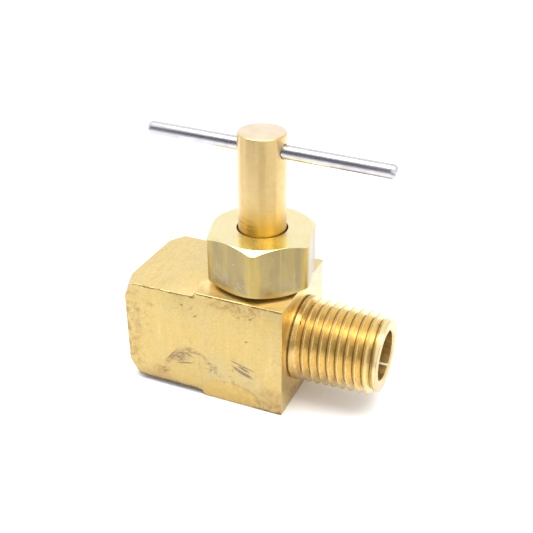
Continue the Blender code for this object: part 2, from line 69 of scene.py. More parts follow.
# ---- sizes of the real pieces
THREAD_GAP = 0.1 * MM
DRILL_HALF_ANGLE = math.radians(59.0)
BODY_HEIGHT = 19.45 * MM
FEMALE_TOP = 18.63 * MM
FEMALE_BOTTOM = 0.88 * MM
MALE_FACE_X = 7.08 * MM
TOP_STEP_X = -7.6 * MM
TOP_RAMP_X = -10.3 * MM
BOTTOM_STEP_X = -6.7 * MM
EDGE_BREAK = 0.13 * MM
PIPE_Z = 9.725 * MM
END_CHAMFER_RADIUS = 10.82 * MM

NPT_PITCH = 25.4 / 18.0 * MM
NPT_TAPER = 1.0 / 32.0
NPT_DEPTH = 1.02 * MM
MALE_RADIUS = 6.96 * MM
MALE_COLLAR = 0.95 * MM
MALE_TIP_RADIUS = 5.8 * MM
MALE_BORE = 4.08 * MM
MALE_BORE_END_X = 7.4 * MM
FEMALE_RADIUS = 6.86 * MM
FEMALE_THREAD_LENGTH = 10.8 * MM
FEMALE_DRILL_RADIUS = 5.35 * MM
FEMALE_DRILL_END_X = -8.0 * MM
FEMALE_MOUTH_RADIUS = 7.3 * MM

ORIFICE_RADIUS = 1.25 * MM
SEAT_Z = 9.0 * MM
LOW_PASSAGE_Z = 6.4 * MM
LOW_PASSAGE_RADIUS = 1.5 * MM
HIGH_PASSAGE_Z = 11.2 * MM
HIGH_PASSAGE_RADIUS = 1.6 * MM

STEM_TOP_EDGE = 0.3 * MM
STEM_SHOULDER_Z = 16.0 * MM
STEM_PITCH = 1.0 * MM
STEM_THREAD_RADIUS = 3.4 * MM
STEM_THREAD_DEPTH = 0.55 * MM
STEM_THREAD_BOTTOM = 11.0 * MM
NEEDLE_HALF_ANGLE = math.radians(25.0)
NEEDLE_NECK_RADIUS = 1.9 * MM
NEEDLE_TIP_RADIUS = 0.3 * MM
NEEDLE_SEAT_RADIUS = 1.15 * MM
TAPPED_TOP = 15.7 * MM
SMOOTH_BORE_RADIUS = 3.9 * MM
O_RING_Z = 17.5 * MM
O_RING_GROOVE_RADIUS = 2.95 * MM
O_RING_GROOVE_HALF = 0.55 * MM

NECK_RADIUS = 6.35 * MM
NECK_PITCH = 1.27 * MM
NECK_DEPTH = 0.65 * MM
BOX_RADIUS = 4.95 * MM
BOX_FLOOR = 21.2 * MM

NUT_FLATS = 15.875 * MM
NUT_CORNER_RADIUS = 1.3 * MM
NUT_CEILING = 26.3 * MM
NUT_BORE = 4.0 * MM     # drawn a little tighter round the stem than in the CAD part
NUT_TURN = math.radians(13.35)
NUT_CHAMFER = math.radians(30.0)

BAR_LENGTH = 40.9 * MM
BAR_OFFSET = 0.68 * MM
BAR_TURN = math.radians(-3.4)
BAR_END_ROUND = 0.8 * MM
BAR_HOLE = BAR_RADIUS + 0.07 * MM

ACROSS_MARKS = 0.25     # quarter turn between the tool marks and the way they blur

ROUND = 128
FINE = 96
WELD = 0.0005 * MM

# ---- camera
CAMERA_PLACE = (48.137 * MM, -109.541 * MM, 88.690 * MM)
CAMERA_AZIMUTH = math.radians(23.425)
CAMERA_ELEVATION = math.radians(29.429)
CAMERA_ROLL = math.radians(-0.14)
CAMERA_LENS = 58.25


# ---- mesh helpers
def new_object(name, mesh):
    obj = bpy.data.objects.new(name, mesh)
    bpy.context.scene.collection.objects.link(obj)
    return obj


def lay_along_x(obj):
    """Turn a piece made round the Z axis so that it lies on the pipe axis."""
    obj.data.transform(Matrix.Translation((0.0, 0.0, PIPE_Z)) @ Matrix.Rotation(math.pi / 2.0, 4, "Y"))
    return obj


def mesh_object(name, bm, triangles=True):
    if triangles:
        bmesh.ops.triangulate(bm, faces=bm.faces[:])
    bmesh.ops.recalc_face_normals(bm, faces=bm.faces[:])
    mesh = bpy.data.meshes.new(name)
    bm.to_mesh(mesh)
    bm.free()
    return new_object(name, mesh)


def apply_modifiers(obj):
    bpy.context.view_layer.update()
    graph = bpy.context.evaluated_depsgraph_get()
    mesh = bpy.data.meshes.new_from_object(obj.evaluated_get(graph))
    obj.modifiers.clear()
    obj.data = mesh


def boolean(obj, tool, operation):
    """Exact Boolean with a tool that is used once, then a weld of the slivers."""
    mod = obj.modifiers.new(operation.lower(), "BOOLEAN")
    mod.operation = operation
    mod.solver = "EXACT"
    mod.object = tool
    apply_modifiers(obj)
    bpy.data.objects.remove(tool, do_unlink=True)
    bm = bmesh.new()
    bm.from_mesh(obj.data)
    bmesh.ops.remove_doubles(bm, verts=bm.verts[:], dist=WELD)
    bmesh.ops.dissolve_degenerate(bm, edges=bm.edges[:], dist=WELD)
    bmesh.ops.triangulate(bm, faces=bm.faces[:])
    bm.to_mesh(obj.data)
    bm.free()


def add_ring(bm, radii, heights):
    """Ring of vertices round Z, with a radius and a height for each."""
    turns = [2.0 * math.pi * j / len(radii) for j in range(len(radii))]
    return [bm.verts.new((r * math.cos(a), r * math.sin(a), h))
            for a, h, r in zip(turns, heights, radii)]


def add_skin(bm, lower, upper):
    """Wall of quads between two rings with the same number of vertices."""
    for j in range(len(lower)):
        k = (j + 1) % len(lower)
        bm.faces.new((lower[j], lower[k], upper[k], upper[j]))


def rings_solid(name, stations, sides):
    """Closed turned solid from (radius, height) stations that go up the axis."""
    bm = bmesh.new()
    rings = [add_ring(bm, [r] * sides, [h] * sides) for r, h in stations]
    for lower, upper in zip(rings, rings[1:]):
        add_skin(bm, lower, upper)
    bm.faces.new(rings[0][::-1])
    bm.faces.new(rings[-1])
    return mesh_object(name, bm)


def rounded_top(radius, top, rounding, steps):
    """(radius, height) stations up to a flat top whose edge is a quarter round."""
    angles = [math.pi / 2.0 * step / steps for step in range(steps + 1)]
    return [(radius - rounding * (1.0 - math.cos(a)), top - rounding * (1.0 - math.sin(a)))
            for a in angles]


def fade(value, low, high):
    """0 below `low`, 1 above `high`, straight between them."""
    return min(1.0, max(0.0, (value - low) / (high - low)))


def window(value, low, inner_low, inner_high, high):
    """1 between the inner bounds, straight down to 0 at the outer ones."""
    return fade(value, low, inner_low) * (1.0 - fade(value, inner_high, high))


def rounded_vee(crest, root):
    """(share of the pitch, share of the depth) stations of a 60 degree thread, crest first.

    crest and root are how much of each flank, as a share of it, is rounded off at either end.
    """
    slope = 1.0 / (1.0 - (crest + root) / 2.0)
    stations = []
    for width in (0.0, crest / 2.0, crest, 0.5, 1.0 - root, 1.0 - root / 2.0, 1.0):
        if width < crest:
            depth = slope * width ** 2 / (2.0 * crest)
        elif width > 1.0 - root:
            depth = 1.0 - slope * (1.0 - width) ** 2 / (2.0 * root)
        else:
            depth = slope * (width - crest / 2.0)
        stations.append((width / 2.0, depth))
    return stations + [(1.0 - share, depth) for share, depth in stations[-2:0:-1]]


def flat_crests(crest, root):
    """(share of the pitch, share of the depth) stations of a thread with flats of these shares."""
    return [(-crest / 2.0, 0.0), (crest / 2.0, 0.0),
            ((1.0 - root) / 2.0, 1.0), ((1.0 + root) / 2.0, 1.0)]


def threaded(name, span, crest, root, pitch, phase, stations, sides, below=(), above=()):
    """Turned solid with a right-hand helical thread over span = (low, high) of its axis.

    crest and root are functions of height that give the radius.  They agree at both ends of the
    span, so that the ridge has died out there.  below and above list the (radius, height)
    stations of the plain stretches before and after the thread, going up the axis.
    """
    low, high = span
    count = len(stations)
    first = math.floor((low - phase) / pitch) - 2
    rows = count * (math.ceil((high - low) / pitch) + 5)
    snap = 0.02 * MM
    bm = bmesh.new()
    grid = []
    for row in range(rows + count):
        share, depth = stations[row % count]
        base = phase + (first + row // count + share) * pitch
        heights = [base + pitch * j / sides for j in range(sides)]
        heights = [low if h < low + snap else high if h > high - snap else h for h in heights]
        radii = [crest(h) + depth * (root(h) - crest(h)) for h in heights]
        grid.append(add_ring(bm, radii, heights))
    for row in range(rows - 1):
        for j in range(sides):
            if j + 1 < sides:
                right, above_right = grid[row][j + 1], grid[row + 1][j + 1]
            else:
                right, above_right = grid[row + count][0], grid[row + count + 1][0]
            bm.faces.new((grid[row][j], right, above_right, grid[row + 1][j]))

    for plain in ([*below, (crest(low), low)], [(crest(high), high), *above]):
        rings = [add_ring(bm, [r] * sides, [h] * sides) for r, h in plain]
        for lower, upper in zip(rings, rings[1:]):
            add_skin(bm, lower, upper)

    bmesh.ops.remove_doubles(bm, verts=bm.verts[:], dist=WELD)
    bmesh.ops.delete(bm, geom=[v for v in bm.verts if not v.link_faces], context="VERTS")
    bmesh.ops.holes_fill(bm, edges=[e for e in bm.edges if e.is_boundary], sides=0)
    return mesh_object(name, bm)


def rod_between(name, radius, start, end, sides=48):
    """Plain round tool between two points."""
    start, end = Vector(start), Vector(end)
    along = end - start
    rod = rings_solid(name, [(radius, 0.0), (radius, along.length)], sides)
    turn = along.to_track_quat("Z", "Y").to_matrix().to_4x4()
    rod.data.transform(Matrix.Translation(start) @ turn)
    return rod


def extruded(name, outline, low, high):
    """Closed solid of an outline in the XY plane between two heights."""
    bm = bmesh.new()
    lower = [bm.verts.new((x, y, low)) for x, y in outline]
    upper = [bm.verts.new((x, y, high)) for x, y in outline]
    bm.faces.new(lower[::-1])
    bm.faces.new(upper)
    add_skin(bm, lower, upper)
    return mesh_object(name, bm, triangles=False)


def smooth(obj, degrees=30.0):
    obj.data.shade_smooth()
    obj.data.set_sharp_from_angle(angle=math.radians(degrees))


# ---- shader helpers
class Finish:
    """A Principled material built from a few short node calls, in millimetres of the frame."""

    def __init__(self, name, metallic=1.0):
        self.material = bpy.data.materials.new(name)
        self.material.use_nodes = True
        self.tree = self.material.node_tree
        self.shader = self.tree.nodes["Principled BSDF"]
        self.shader.inputs["Metallic"].default_value = metallic
        place = self.node("TexCoord").outputs["Object"]
        self.place = self.vector("SCALE", place, scale=1000.0)
        self.x, self.y, self.z = self.split(self.place)
        self.colour = None

    def node(self, kind):
        return self.tree.nodes.new("ShaderNode" + kind)

    def put(self, value, socket):
        if isinstance(value, bpy.types.NodeSocket):
            self.tree.links.new(value, socket)
        elif isinstance(value, tuple) and socket.type == "RGBA":
            socket.default_value = (*value, 1.0)
        else:
            socket.default_value = value

    def vector(self, operation, first, second=None, scale=None):
        node = self.node("VectorMath")
        node.operation = operation
        self.put(first, node.inputs[0])
        if second is not None:
            self.put(second, node.inputs[1])
        if scale is not None:
            self.put(scale, node.inputs["Scale"])
        return node.outputs["Value" if operation == "LENGTH" else "Vector"]

    def math(self, operation, first, second=0.0, third=0.0):
        node = self.node("Math")
        node.operation = operation
        for value, socket in zip((first, second, third), node.inputs):
            self.put(value, socket)
        return node.outputs[0]

    def split(self, vector):
        node = self.node("SeparateXYZ")
        self.put(vector, node.inputs[0])
        return node.outputs[0], node.outputs[1], node.outputs[2]

    def join(self, x, y, z):
        node = self.node("CombineXYZ")
        for value, socket in zip((x, y, z), node.inputs):
            self.put(value, socket)
        return node.outputs[0]

    def stretched(self, factors):
        return self.vector("MULTIPLY", self.place, factors)

    def noise(self, scale, detail=2.0, roughness=0.5, place=None, distortion=0.0):
        node = self.node("TexNoise")
        self.put(place or self.place, node.inputs["Vector"])
        for socket, value in (("Scale", scale), ("Detail", detail), ("Roughness", roughness),
                              ("Distortion", distortion)):
            node.inputs[socket].default_value = value
        return node.outputs["Fac"]

    def band(self, value, low, high, start=0.0, end=1.0):
        """Smooth step of value from start at `low` to end at `high`."""
        node = self.node("MapRange")
        node.interpolation_type = "SMOOTHSTEP"
        for name, number in (("Value", value), ("From Min", low), ("From Max", high),
                             ("To Min", start), ("To Max", end)):
            self.put(number, node.inputs[name])
        return node.outputs["Result"]

    def fall(self, value, low, high):
        """1 below `low`, 0 above `high`, smooth between them."""
        return self.band(value, low, high, 1.0, 0.0)

    def patch(self, centre, radii, turn=(0.0, 0.0, 0.0), soft=0.6):
        """1 inside an ellipsoid in millimetres, fading to 0 at its skin."""
        node = self.node("Mapping")
        node.vector_type = "TEXTURE"
        self.put(self.place, node.inputs["Vector"])
        node.inputs["Location"].default_value = centre
        node.inputs["Rotation"].default_value = [math.radians(a) for a in turn]
        node.inputs["Scale"].default_value = radii
        return self.fall(self.vector("LENGTH", node.outputs[0]), 1.0 - soft, 1.0)

    def spots(self, depth, *rows):
        """1 inside ellipses on the front of the block that reach this depth in.

        A row is x, z, half length, half height, turn about Y in degrees and softness of the skin.
        """
        front = -BODY_WIDTH / MM / 2.0
        return self.largest(*[
            self.patch((x, front, z), (length, depth, height), (0.0, turn, 0.0), soft)
            for x, z, length, height, turn, soft in rows])

    def combined(self, operation, values):
        """All the values put together, two at a time."""
        total = values[0]
        for value in values[1:]:
            total = self.math(operation, total, value)
        return total

    def largest(self, *values):
        return self.combined("MAXIMUM", values)

    def times(self, *values):
        return self.combined("MULTIPLY", values)

    def mix(self, share, first, second):
        node = self.node("Mix")
        node.data_type = "RGBA"
        self.put(share, node.inputs["Factor"])
        self.put(first, node.inputs[6])
        self.put(second, node.inputs[7])
        return node.outputs[2]

    def coat(self, tint, cover, share=None):
        """Lay a tint over the colour so far: cover says where, and share how thickly."""
        if share is not None:
            cover = self.times(cover, share)
        self.colour = self.mix(cover, self.colour, tint)

    def tone(self, tint, pattern, start, full, share):
        """Lay a tint where a pattern goes from start, where there is none, to full."""
        self.coat(tint, self.band(pattern, start, full, 0.0, share))

    def window(self, value, low, inner_low, inner_high, high):
        """1 between the inner bounds, fading to 0 at the outer ones."""
        rise = self.band(value, low, inner_low)
        return self.times(rise, self.fall(value, inner_high, high))

    def from_stem(self):
        return self.vector("LENGTH", self.join(self.x, self.y, 0.0))

    def outward(self, angle):
        """Distance from the stem's axis along a level direction at this angle from X."""
        return self.math("MULTIPLY_ADD", self.x, math.cos(angle), self.times(self.y, math.sin(angle)))

    def above_pipe(self):
        return self.math("SUBTRACT", self.z, PIPE_Z / MM)

    def from_pipe(self):
        return self.vector("LENGTH", self.join(0.0, self.y, self.above_pipe()))

    def bump(self, height, distance, normal=None):
        node = self.node("Bump")
        node.inputs["Distance"].default_value = distance * MM
        self.put(height, node.inputs["Height"])
        if normal is not None:
            self.put(normal, node.inputs["Normal"])
        return node.outputs["Normal"]

    def facing(self):
        """0 where the surface faces the viewer, 1 at its outline."""
        node = self.node("LayerWeight")
        node.inputs["Blend"].default_value = 0.5
        return node.outputs["Facing"]

    def round_stem(self):
        """Direction of the tool marks on a piece turned about its own middle, round Z."""
        node = self.node("Tangent")
        node.direction_type = "RADIAL"
        node.axis = "Z"
        return node.outputs[0]

    def round_pipe(self):
        """Direction of the tool marks on what is turned round the pipe axis."""
        node = self.node("VectorTransform")
        node.vector_type = "VECTOR"
        node.convert_from = "OBJECT"
        node.convert_to = "WORLD"
        round_axis = self.join(0.0, self.times(self.above_pipe(), -1.0), self.y)
        self.put(self.vector("NORMALIZE", round_axis), node.inputs[0])
        return node.outputs[0]

    def finish(self, roughness, normal=None, marks=None, stretch=0.0):
        """Close the material.  marks is the direction of its tool marks, which blur across it."""
        self.put(self.colour, self.shader.inputs["Base Color"])
        self.put(roughness, self.shader.inputs["Roughness"])
        if normal is not None:
            self.put(normal, self.shader.inputs["Normal"])
        if marks is not None:
            self.put(marks, self.shader.inputs["Tangent"])
            self.put(stretch, self.shader.inputs["Anisotropic"])
            self.put(ACROSS_MARKS, self.shader.inputs["Anisotropic Rotation"])
        return self.material


# ---- finishes
def stain_edges(f, mottle):
    """Brown patina at the ends and along the edges of the block, with dark lines on its edges; at the
    foot of the thinner part they are painted shadow of the gap under it.
    """
    left = f.band(f.x, -20.8, -16.6, 0.95, 0.0)
    foot = f.band(f.z, 0.3, 2.4, 0.65, 0.0)
    upper = f.spots(1.5, (-1.2, 18.9, 6.5, 2.1, 0.0, 0.7))
    corner = f.spots(2.0, (5.6, 2.0, 4.2, 3.4, 0.0, 0.7))
    blots = f.spots(1.5, (-15.5, 15.0, 1.6, 1.1, 0.0, 0.9), (-14.6, 3.0, 2.6, 1.4, 0.0, 0.9),
                    (-3.6, 4.0, 1.2, 1.6, 0.0, 0.9))
    patina = f.largest(left, foot, upper, corner, blots)
    f.coat((0.30, 0.165, 0.055), f.times(patina, f.band(mottle, 0.42, 0.60)), 0.62)
    tan = f.spots(2.0, (5.8, 2.2, 4.6, 3.6, 0.0, 0.8), (-15.5, 1.6, 5.0, 1.6, 0.0, 0.8))
    f.coat((0.37, 0.25, 0.12), tan, 0.45)

    half = BODY_WIDTH / MM / 2.0
    wander = f.times(f.math("SUBTRACT", f.noise(1.1, 3.0), 0.5), 0.7)
    height = f.math("ADD", f.z, wander)
    on_front = f.fall(f.y, -half + 0.05, -half + 0.3)
    thick_part = f.band(f.x, TOP_STEP_X / MM - 0.3, TOP_STEP_X / MM + 0.1)
    thin_part = f.math("SUBTRACT", 1.0, thick_part)
    # dark lines along the top and bottom edges; the ones at the foot of the thinner part are painted
    # shadow
    lines = f.largest(
        f.times(f.band(height, BODY_HEIGHT / MM - 0.45, BODY_HEIGHT / MM - 0.15), thick_part),
        f.times(f.band(height, FEMALE_TOP / MM - 0.35, FEMALE_TOP / MM - 0.12), thin_part),
        f.times(f.fall(height, 0.12, 0.42), thick_part),
        f.times(f.fall(height, 1.0, 1.45), thin_part),
    )
    lines = f.times(lines, on_front, f.band(f.noise(0.45, 5.0, 0.8), 0.33, 0.54))
    # painted shadow: a dark strip along the foot of the thinner part, which stands clear of the floor
    shadow_below_step = f.times(f.fall(f.z, 1.08, 1.26), thin_part)
    nicked = f.spots(1.5, (7.0, 0.2, 1.6, 0.8, -10.0, 0.7))
    lines = f.largest(lines, f.times(shadow_below_step, 0.9), f.times(nicked, 0.8))
    f.coat((0.16, 0.095, 0.045), lines, 0.9)


def stain_lines(f, mottle):
    """Thin wriggling stain lines on the front of the block."""
    contour = f.noise(0.5, 3.0, 0.55, distortion=1.0)
    contour = f.math("ABSOLUTE", f.math("SUBTRACT", contour, 0.5))
    wriggles = f.fall(contour, 0.006, 0.020)
    stained = f.spots(1.5, (-0.8, 18.0, 7.5, 2.2, -4.0, 0.5), (-17.4, 13.0, 3.4, 4.0, 0.0, 0.6),
                      (-9.5, 15.6, 4.0, 2.4, 0.0, 0.8), (-3.0, 5.0, 9.0, 3.4, 0.0, 0.6))
    wriggles = f.times(wriggles, stained, f.band(mottle, 0.36, 0.56))
    f.coat((0.24, 0.15, 0.065), wriggles, 0.62)


def dull_area(f, mottle, grain):
    """Dull area on the front of the block with a clean oval under it."""
    dull = f.spots(1.5, (-1.8, 5.6, 7.2, 3.9, 13.0, 0.6))
    dull = f.times(dull, f.band(f.noise(0.30, 3.0, 0.5), 0.28, 0.55))
    f.coat((0.49, 0.42, 0.23), dull, 0.5)
    rim = f.spots(1.5, (-2.0, 1.3, 5.7, 2.9, -3.0, 0.2))
    rim = f.times(rim, f.band(f.x, -5.0, 2.6, 0.25, 1.0))
    f.coat((0.33, 0.21, 0.08), f.times(rim, f.band(mottle, 0.36, 0.6, 0.15, 0.8)))
    oval = f.spots(1.5, (-2.2, 1.2, 5.3, 2.6, -3.0, 0.14))
    f.coat((0.585, 0.425, 0.14), oval, 0.6)
    f.coat((0.50, 0.31, 0.09), f.times(oval, f.band(grain, 0.5, 0.7, 0.0, 0.3)))


def smudges_and_marks(f):
    """Where the front of the block is smudged, and where it is smudged or scratched."""
    scuffs = f.noise(1.5, 5.0, 0.75, f.stretched((0.9, 1.0, 2.0)))
    dark = f.spots(1.0, (-12.1, 6.2, 3.6, 0.75, -46.0, 0.8), (-10.5, 6.9, 2.7, 1.7, -42.0, 0.8),
                   (-8.4, 8.2, 2.3, 0.8, 12.0, 0.8), (-13.7, 3.3, 1.2, 0.9, -20.0, 0.8))
    faint = f.spots(1.0, (-5.8, 6.8, 2.8, 0.5, 50.0, 0.8), (-4.5, 5.7, 0.6, 1.3, 0.0, 0.8))
    smudges = f.largest(dark, f.times(faint, 0.7))
    smudges = f.times(smudges, f.band(scuffs, 0.36, 0.60))
    scratches = f.spots(
        1.0,
        (0.4, 7.75, 2.9, 0.16, 15.0, 0.5),
        (0.3, 6.45, 2.3, 0.46, 24.0, 0.7),
        (0.6, 7.2, 1.5, 0.34, 21.0, 0.7),
        (-0.6, 7.0, 1.3, 0.2, 24.0, 0.6),
        (1.2, 6.2, 1.3, 0.40, 24.0, 0.7),
        (-10.0, 5.55, 2.1, 0.2, -13.0, 0.6),
        (-12.4, 6.6, 2.4, 0.16, -50.0, 0.6),
        (-9.3, 7.4, 1.5, 0.14, 24.0, 0.6),
    )
    scratches = f.times(scratches, f.band(f.noise(2.4, 4.0, 0.7), 0.30, 0.50))
    return smudges, f.largest(f.times(smudges, 0.78), f.times(scratches, 0.85))


def pits(f):
    """Where the block has irregular pits, a few of them large."""
    specks = f.band(f.noise(1.7, 6.0, 0.8, distortion=1.2), 0.685, 0.73)
    dots = f.spots(1.0, (-7.7, 15.2, 0.55, 0.16, -40.0, 0.6), (-10.0, 16.7, 0.30, 0.20, 20.0, 0.6),
                   (1.8, 16.9, 0.28, 0.22, 0.0, 0.6), (1.1, 12.6, 0.36, 0.18, -30.0, 0.6),
                   (-5.3, 5.4, 0.26, 0.22, 0.0, 0.6))
    return f.largest(f.times(specks, 0.75), dots)


def sawn_brass():
    """Drawn bar surface of the block: stains, smudges, scratches and pits."""
    f = Finish("brass_bar")
    clouds = f.noise(0.22, 3.0, 0.55)
    streaks = f.noise(1.0, 4.0, 0.65, f.stretched((1.3, 1.3, 0.14)))
    grain = f.noise(3.2, 4.0, 0.65)
    mottle = f.noise(0.75, 5.0, 0.7, distortion=0.6)
    drags = f.noise(2.0, 4.0, 0.7, f.stretched((0.14, 1.0, 1.5)))
    f.colour = f.mix(f.band(clouds, 0.35, 0.65), (0.548, 0.408, 0.156), (0.55, 0.43, 0.185))
    f.tone((0.52, 0.365, 0.135), streaks, 0.42, 0.80, 0.55)
    f.tone((0.68, 0.53, 0.225), streaks, 0.45, 0.20, 0.5)
    f.tone((0.47, 0.325, 0.115), grain, 0.48, 0.70, 0.5)
    f.tone((0.66, 0.51, 0.215), grain, 0.48, 0.28, 0.5)
    f.tone((0.44, 0.31, 0.12), drags, 0.54, 0.70, 0.4)
    f.tone((0.42, 0.29, 0.105), mottle, 0.50, 0.74, 0.4)
    stain_edges(f, mottle)
    stain_lines(f, mottle)
    dull_area(f, mottle, grain)
    smudges, marks = smudges_and_marks(f)
    f.coat((0.19, 0.135, 0.10), marks)
    dents = pits(f)
    f.coat((0.17, 0.10, 0.045), dents, 0.75)
    roughness = f.math("ADD", f.band(clouds, 0.3, 0.7, 0.34, 0.42), f.times(smudges, 0.12))
    normal = f.bump(f.noise(5.0, 3.0, 0.6), 0.012)
    normal = f.bump(streaks, 0.02, normal)
    normal = f.bump(f.noise(0.55, 2.0), 0.05, normal)
    normal = f.bump(f.math("SUBTRACT", 1.0, f.largest(dents, marks)), 0.03, normal)
    return f.finish(roughness, normal)


def milled_brass():
    """Top of the block: pale and satin, with faint cutter marks across it."""
    f = Finish("brass_milled")
    clouds = f.noise(0.3, 4.0, 0.6)
    lines = f.noise(1.6, 4.0, 0.65, f.stretched((1.0, 0.16, 1.0)))
    f.colour = f.mix(f.band(clouds, 0.35, 0.7), (0.655, 0.505, 0.215), (0.60, 0.475, 0.225))
    f.tone((0.50, 0.355, 0.125), lines, 0.48, 0.72, 0.45)
    grain = f.noise(2.4, 4.0, 0.7)
    f.tone((0.50, 0.36, 0.14), grain, 0.50, 0.70, 0.35)
    f.tone((0.76, 0.60, 0.28), grain, 0.48, 0.28, 0.5)
    # painted light: brighter in front of the nut, to offset its shade and dark reflection in the top
    radius = f.from_stem()
    faced_and_painted_light = f.times(f.fall(radius, 9.0, 10.4), f.fall(f.y, -5.2, -3.0))
    f.coat((0.88, 0.685, 0.33), faced_and_painted_light, 0.85)
    specks = f.band(f.noise(1.2, 6.0, 0.8, distortion=1.0), 0.69, 0.74)
    f.coat((0.28, 0.16, 0.06), specks, 0.6)
    normal = f.bump(f.noise(4.0, 3.0, 0.6, f.stretched((1.0, 0.3, 1.0))), 0.010)
    normal = f.bump(f.noise(0.5, 1.0), 0.03, normal)
    return f.finish(f.band(clouds, 0.3, 0.7, 0.36, 0.44), normal)


def faced_brass():
    """Turned end faces and cone of the body, with fine rings round the pipe axis."""
    f = Finish("brass_faced")
    radius = f.from_pipe()
    rings = f.noise(3.0, 2.0, 0.5, f.join(radius, 0.0, f.times(f.x, 0.5)))
    clouds = f.noise(0.45, 4.0, 0.65)
    f.colour = f.mix(f.band(clouds, 0.4, 0.7), (0.70, 0.535, 0.21), (0.62, 0.48, 0.21))
    f.tone((0.47, 0.315, 0.11), rings, 0.5, 0.8, 0.35)
    male_end = f.band(f.x, 0.0, 1.0)
    # painted reflection: bright orange on the male end face round the thread, as the thread mirrored
    # in it
    reflection_by_thread = f.times(f.fall(radius, 7.2, 9.4), male_end)
    f.coat((0.92, 0.66, 0.27), reflection_by_thread, 0.8)
    hazy = f.times(f.band(f.z, 12.0, 18.0), f.band(f.y, -1.0, 5.0), male_end)
    f.coat((0.44, 0.37, 0.26), hazy, 0.7)
    female_end = f.fall(f.x, -18.0, -16.0)
    f.coat((0.45, 0.32, 0.14), female_end, 0.55)
    stained = f.largest(female_end, f.band(f.z, 0.5, 3.5, 0.6, 0.0))
    stained = f.times(stained, f.band(f.noise(0.8, 5.0, 0.7), 0.36, 0.6, 0.15, 1.0))
    f.coat((0.33, 0.20, 0.075), stained, 0.7)
    return f.finish(f.band(clouds, 0.3, 0.7, 0.26, 0.36), f.bump(rings, 0.010),
                    f.round_pipe(), 0.6)


def threaded_brass():
    """Machined thread: bright flanks, dirt and painted shade at the bottom of the grooves, crests
    painted darker and small tears.
    """
    f = Finish("brass_thread")
    radius = f.from_pipe()
    along = f.math("SUBTRACT", f.x, MALE_FACE_X / MM)
    crest = f.math("MULTIPLY_ADD", along, -NPT_TAPER, MALE_RADIUS / MM)
    depth = f.math("SUBTRACT", crest, radius)
    ridged = f.window(f.x, 7.0, 7.1, 20.0, 20.3)
    # dirt and painted shade at the bottom of the grooves, and a painted shade line along the relief at
    # the block face
    grime_and_shade = f.times(f.band(depth, 0.90, 1.02), ridged)
    relief = f.times(f.fall(along, 0.22, 0.30), f.band(depth, 0.10, 0.16))
    grime_and_shade = f.largest(grime_and_shade, relief)
    drawn = f.noise(1.6, 4.0, 0.65, f.stretched((3.0, 0.5, 0.5)))
    fine = f.noise(5.0, 4.0, 0.7)
    f.colour = f.mix(f.band(drawn, 0.35, 0.75), (0.85, 0.665, 0.315), (0.74, 0.56, 0.245))
    # the very crests are painted darker than the flanks, to tone down their highlight
    rubbed_and_painted_light = f.times(f.fall(depth, 0.10, 0.30), ridged)
    f.coat((0.56, 0.41, 0.16), rubbed_and_painted_light, 0.65)
    lead = f.band(along, 12.9, 13.5)
    f.coat((0.64, 0.53, 0.30), lead, 0.75)
    f.coat((0.58, 0.43, 0.18), f.band(f.x, 20.97, 21.08))
    # dull patches where the light side of the pipe turns down, and chips along the crests
    dulled = f.times(f.band(f.noise(1.1, 5.0, 0.75), 0.48, 0.62), f.fall(depth, 0.1, 0.5))
    f.coat((0.34, 0.23, 0.10), dulled, 0.30)
    tears = f.band(f.noise(2.6, 4.0, 0.7), 0.66, 0.71)
    f.coat((0.23, 0.13, 0.05), tears, 0.55)
    ticks = f.largest(
        f.patch((8.46, -4.1, 15.27), (0.46, 0.5, 0.24), soft=0.35),
        f.patch((8.25, -4.3, 15.1), (0.14, 0.4, 0.44), soft=0.35),
        f.patch((8.72, -6.71, 11.34), (0.52, 0.5, 0.20), soft=0.35),
        f.patch((9.0, -6.75, 11.0), (0.16, 0.5, 0.42), soft=0.35),
    )
    f.coat((0.11, 0.045, 0.02), ticks, 0.9)
    # painted shade: a black spot for a small notch where the thread starts
    start = f.patch((19.85, -0.35, 16.0), (0.36, 0.5, 0.9), soft=0.3)
    f.coat((0.03, 0.016, 0.01), start, 0.95)
    f.coat((0.115, 0.062, 0.028), grime_and_shade, 0.85)
    roughness = f.math("ADD", f.band(drawn, 0.3, 0.8, 0.26, 0.36), f.times(grime_and_shade, 0.25))
    normal = f.bump(fine, 0.006)
    normal = f.bump(f.math("SUBTRACT", 1.0, f.largest(tears, ticks)), 0.02, normal)
    return f.finish(roughness, normal, f.round_pipe(), 0.7)


def bored_brass():
    """Drilled and bored hollows, with tool rings and drag marks along them, and a painted glint along
    the male bore.
    """
    f = Finish("brass_bore")
    rings = f.noise(4.0, 2.0, 0.5, f.stretched((1.0, 0.1, 1.0)))
    clouds = f.noise(0.6, 3.0)
    f.colour = f.mix(f.band(clouds, 0.35, 0.7), (0.74, 0.54, 0.20), (0.62, 0.44, 0.16))
    f.tone((0.42, 0.28, 0.10), rings, 0.5, 0.8, 0.35)
    turn = f.math("ARCTAN2", f.y, f.above_pipe())
    drag = f.noise(2.2, 4.0, 0.7, f.join(f.times(turn, 2.0), 0.0, f.times(f.x, 0.15)))
    f.tone((0.30, 0.19, 0.07), drag, 0.45, 0.65, 0.6)
    # painted highlight: a thin bright line along the wall near the tip, as a glint of light
    painted_glint = f.window(turn, 2.47, 2.50, 2.56, 2.59)
    painted_glint = f.times(painted_glint, f.band(f.x, 19.0, 19.6))
    f.coat((0.98, 0.92, 0.74), painted_glint)
    roughness = f.largest(f.band(clouds, 0.3, 0.7, 0.30, 0.42), f.times(painted_glint, 0.6))
    return f.finish(roughness, f.bump(f.math("ADD", rings, f.times(painted_glint, 2.0)), 0.015))


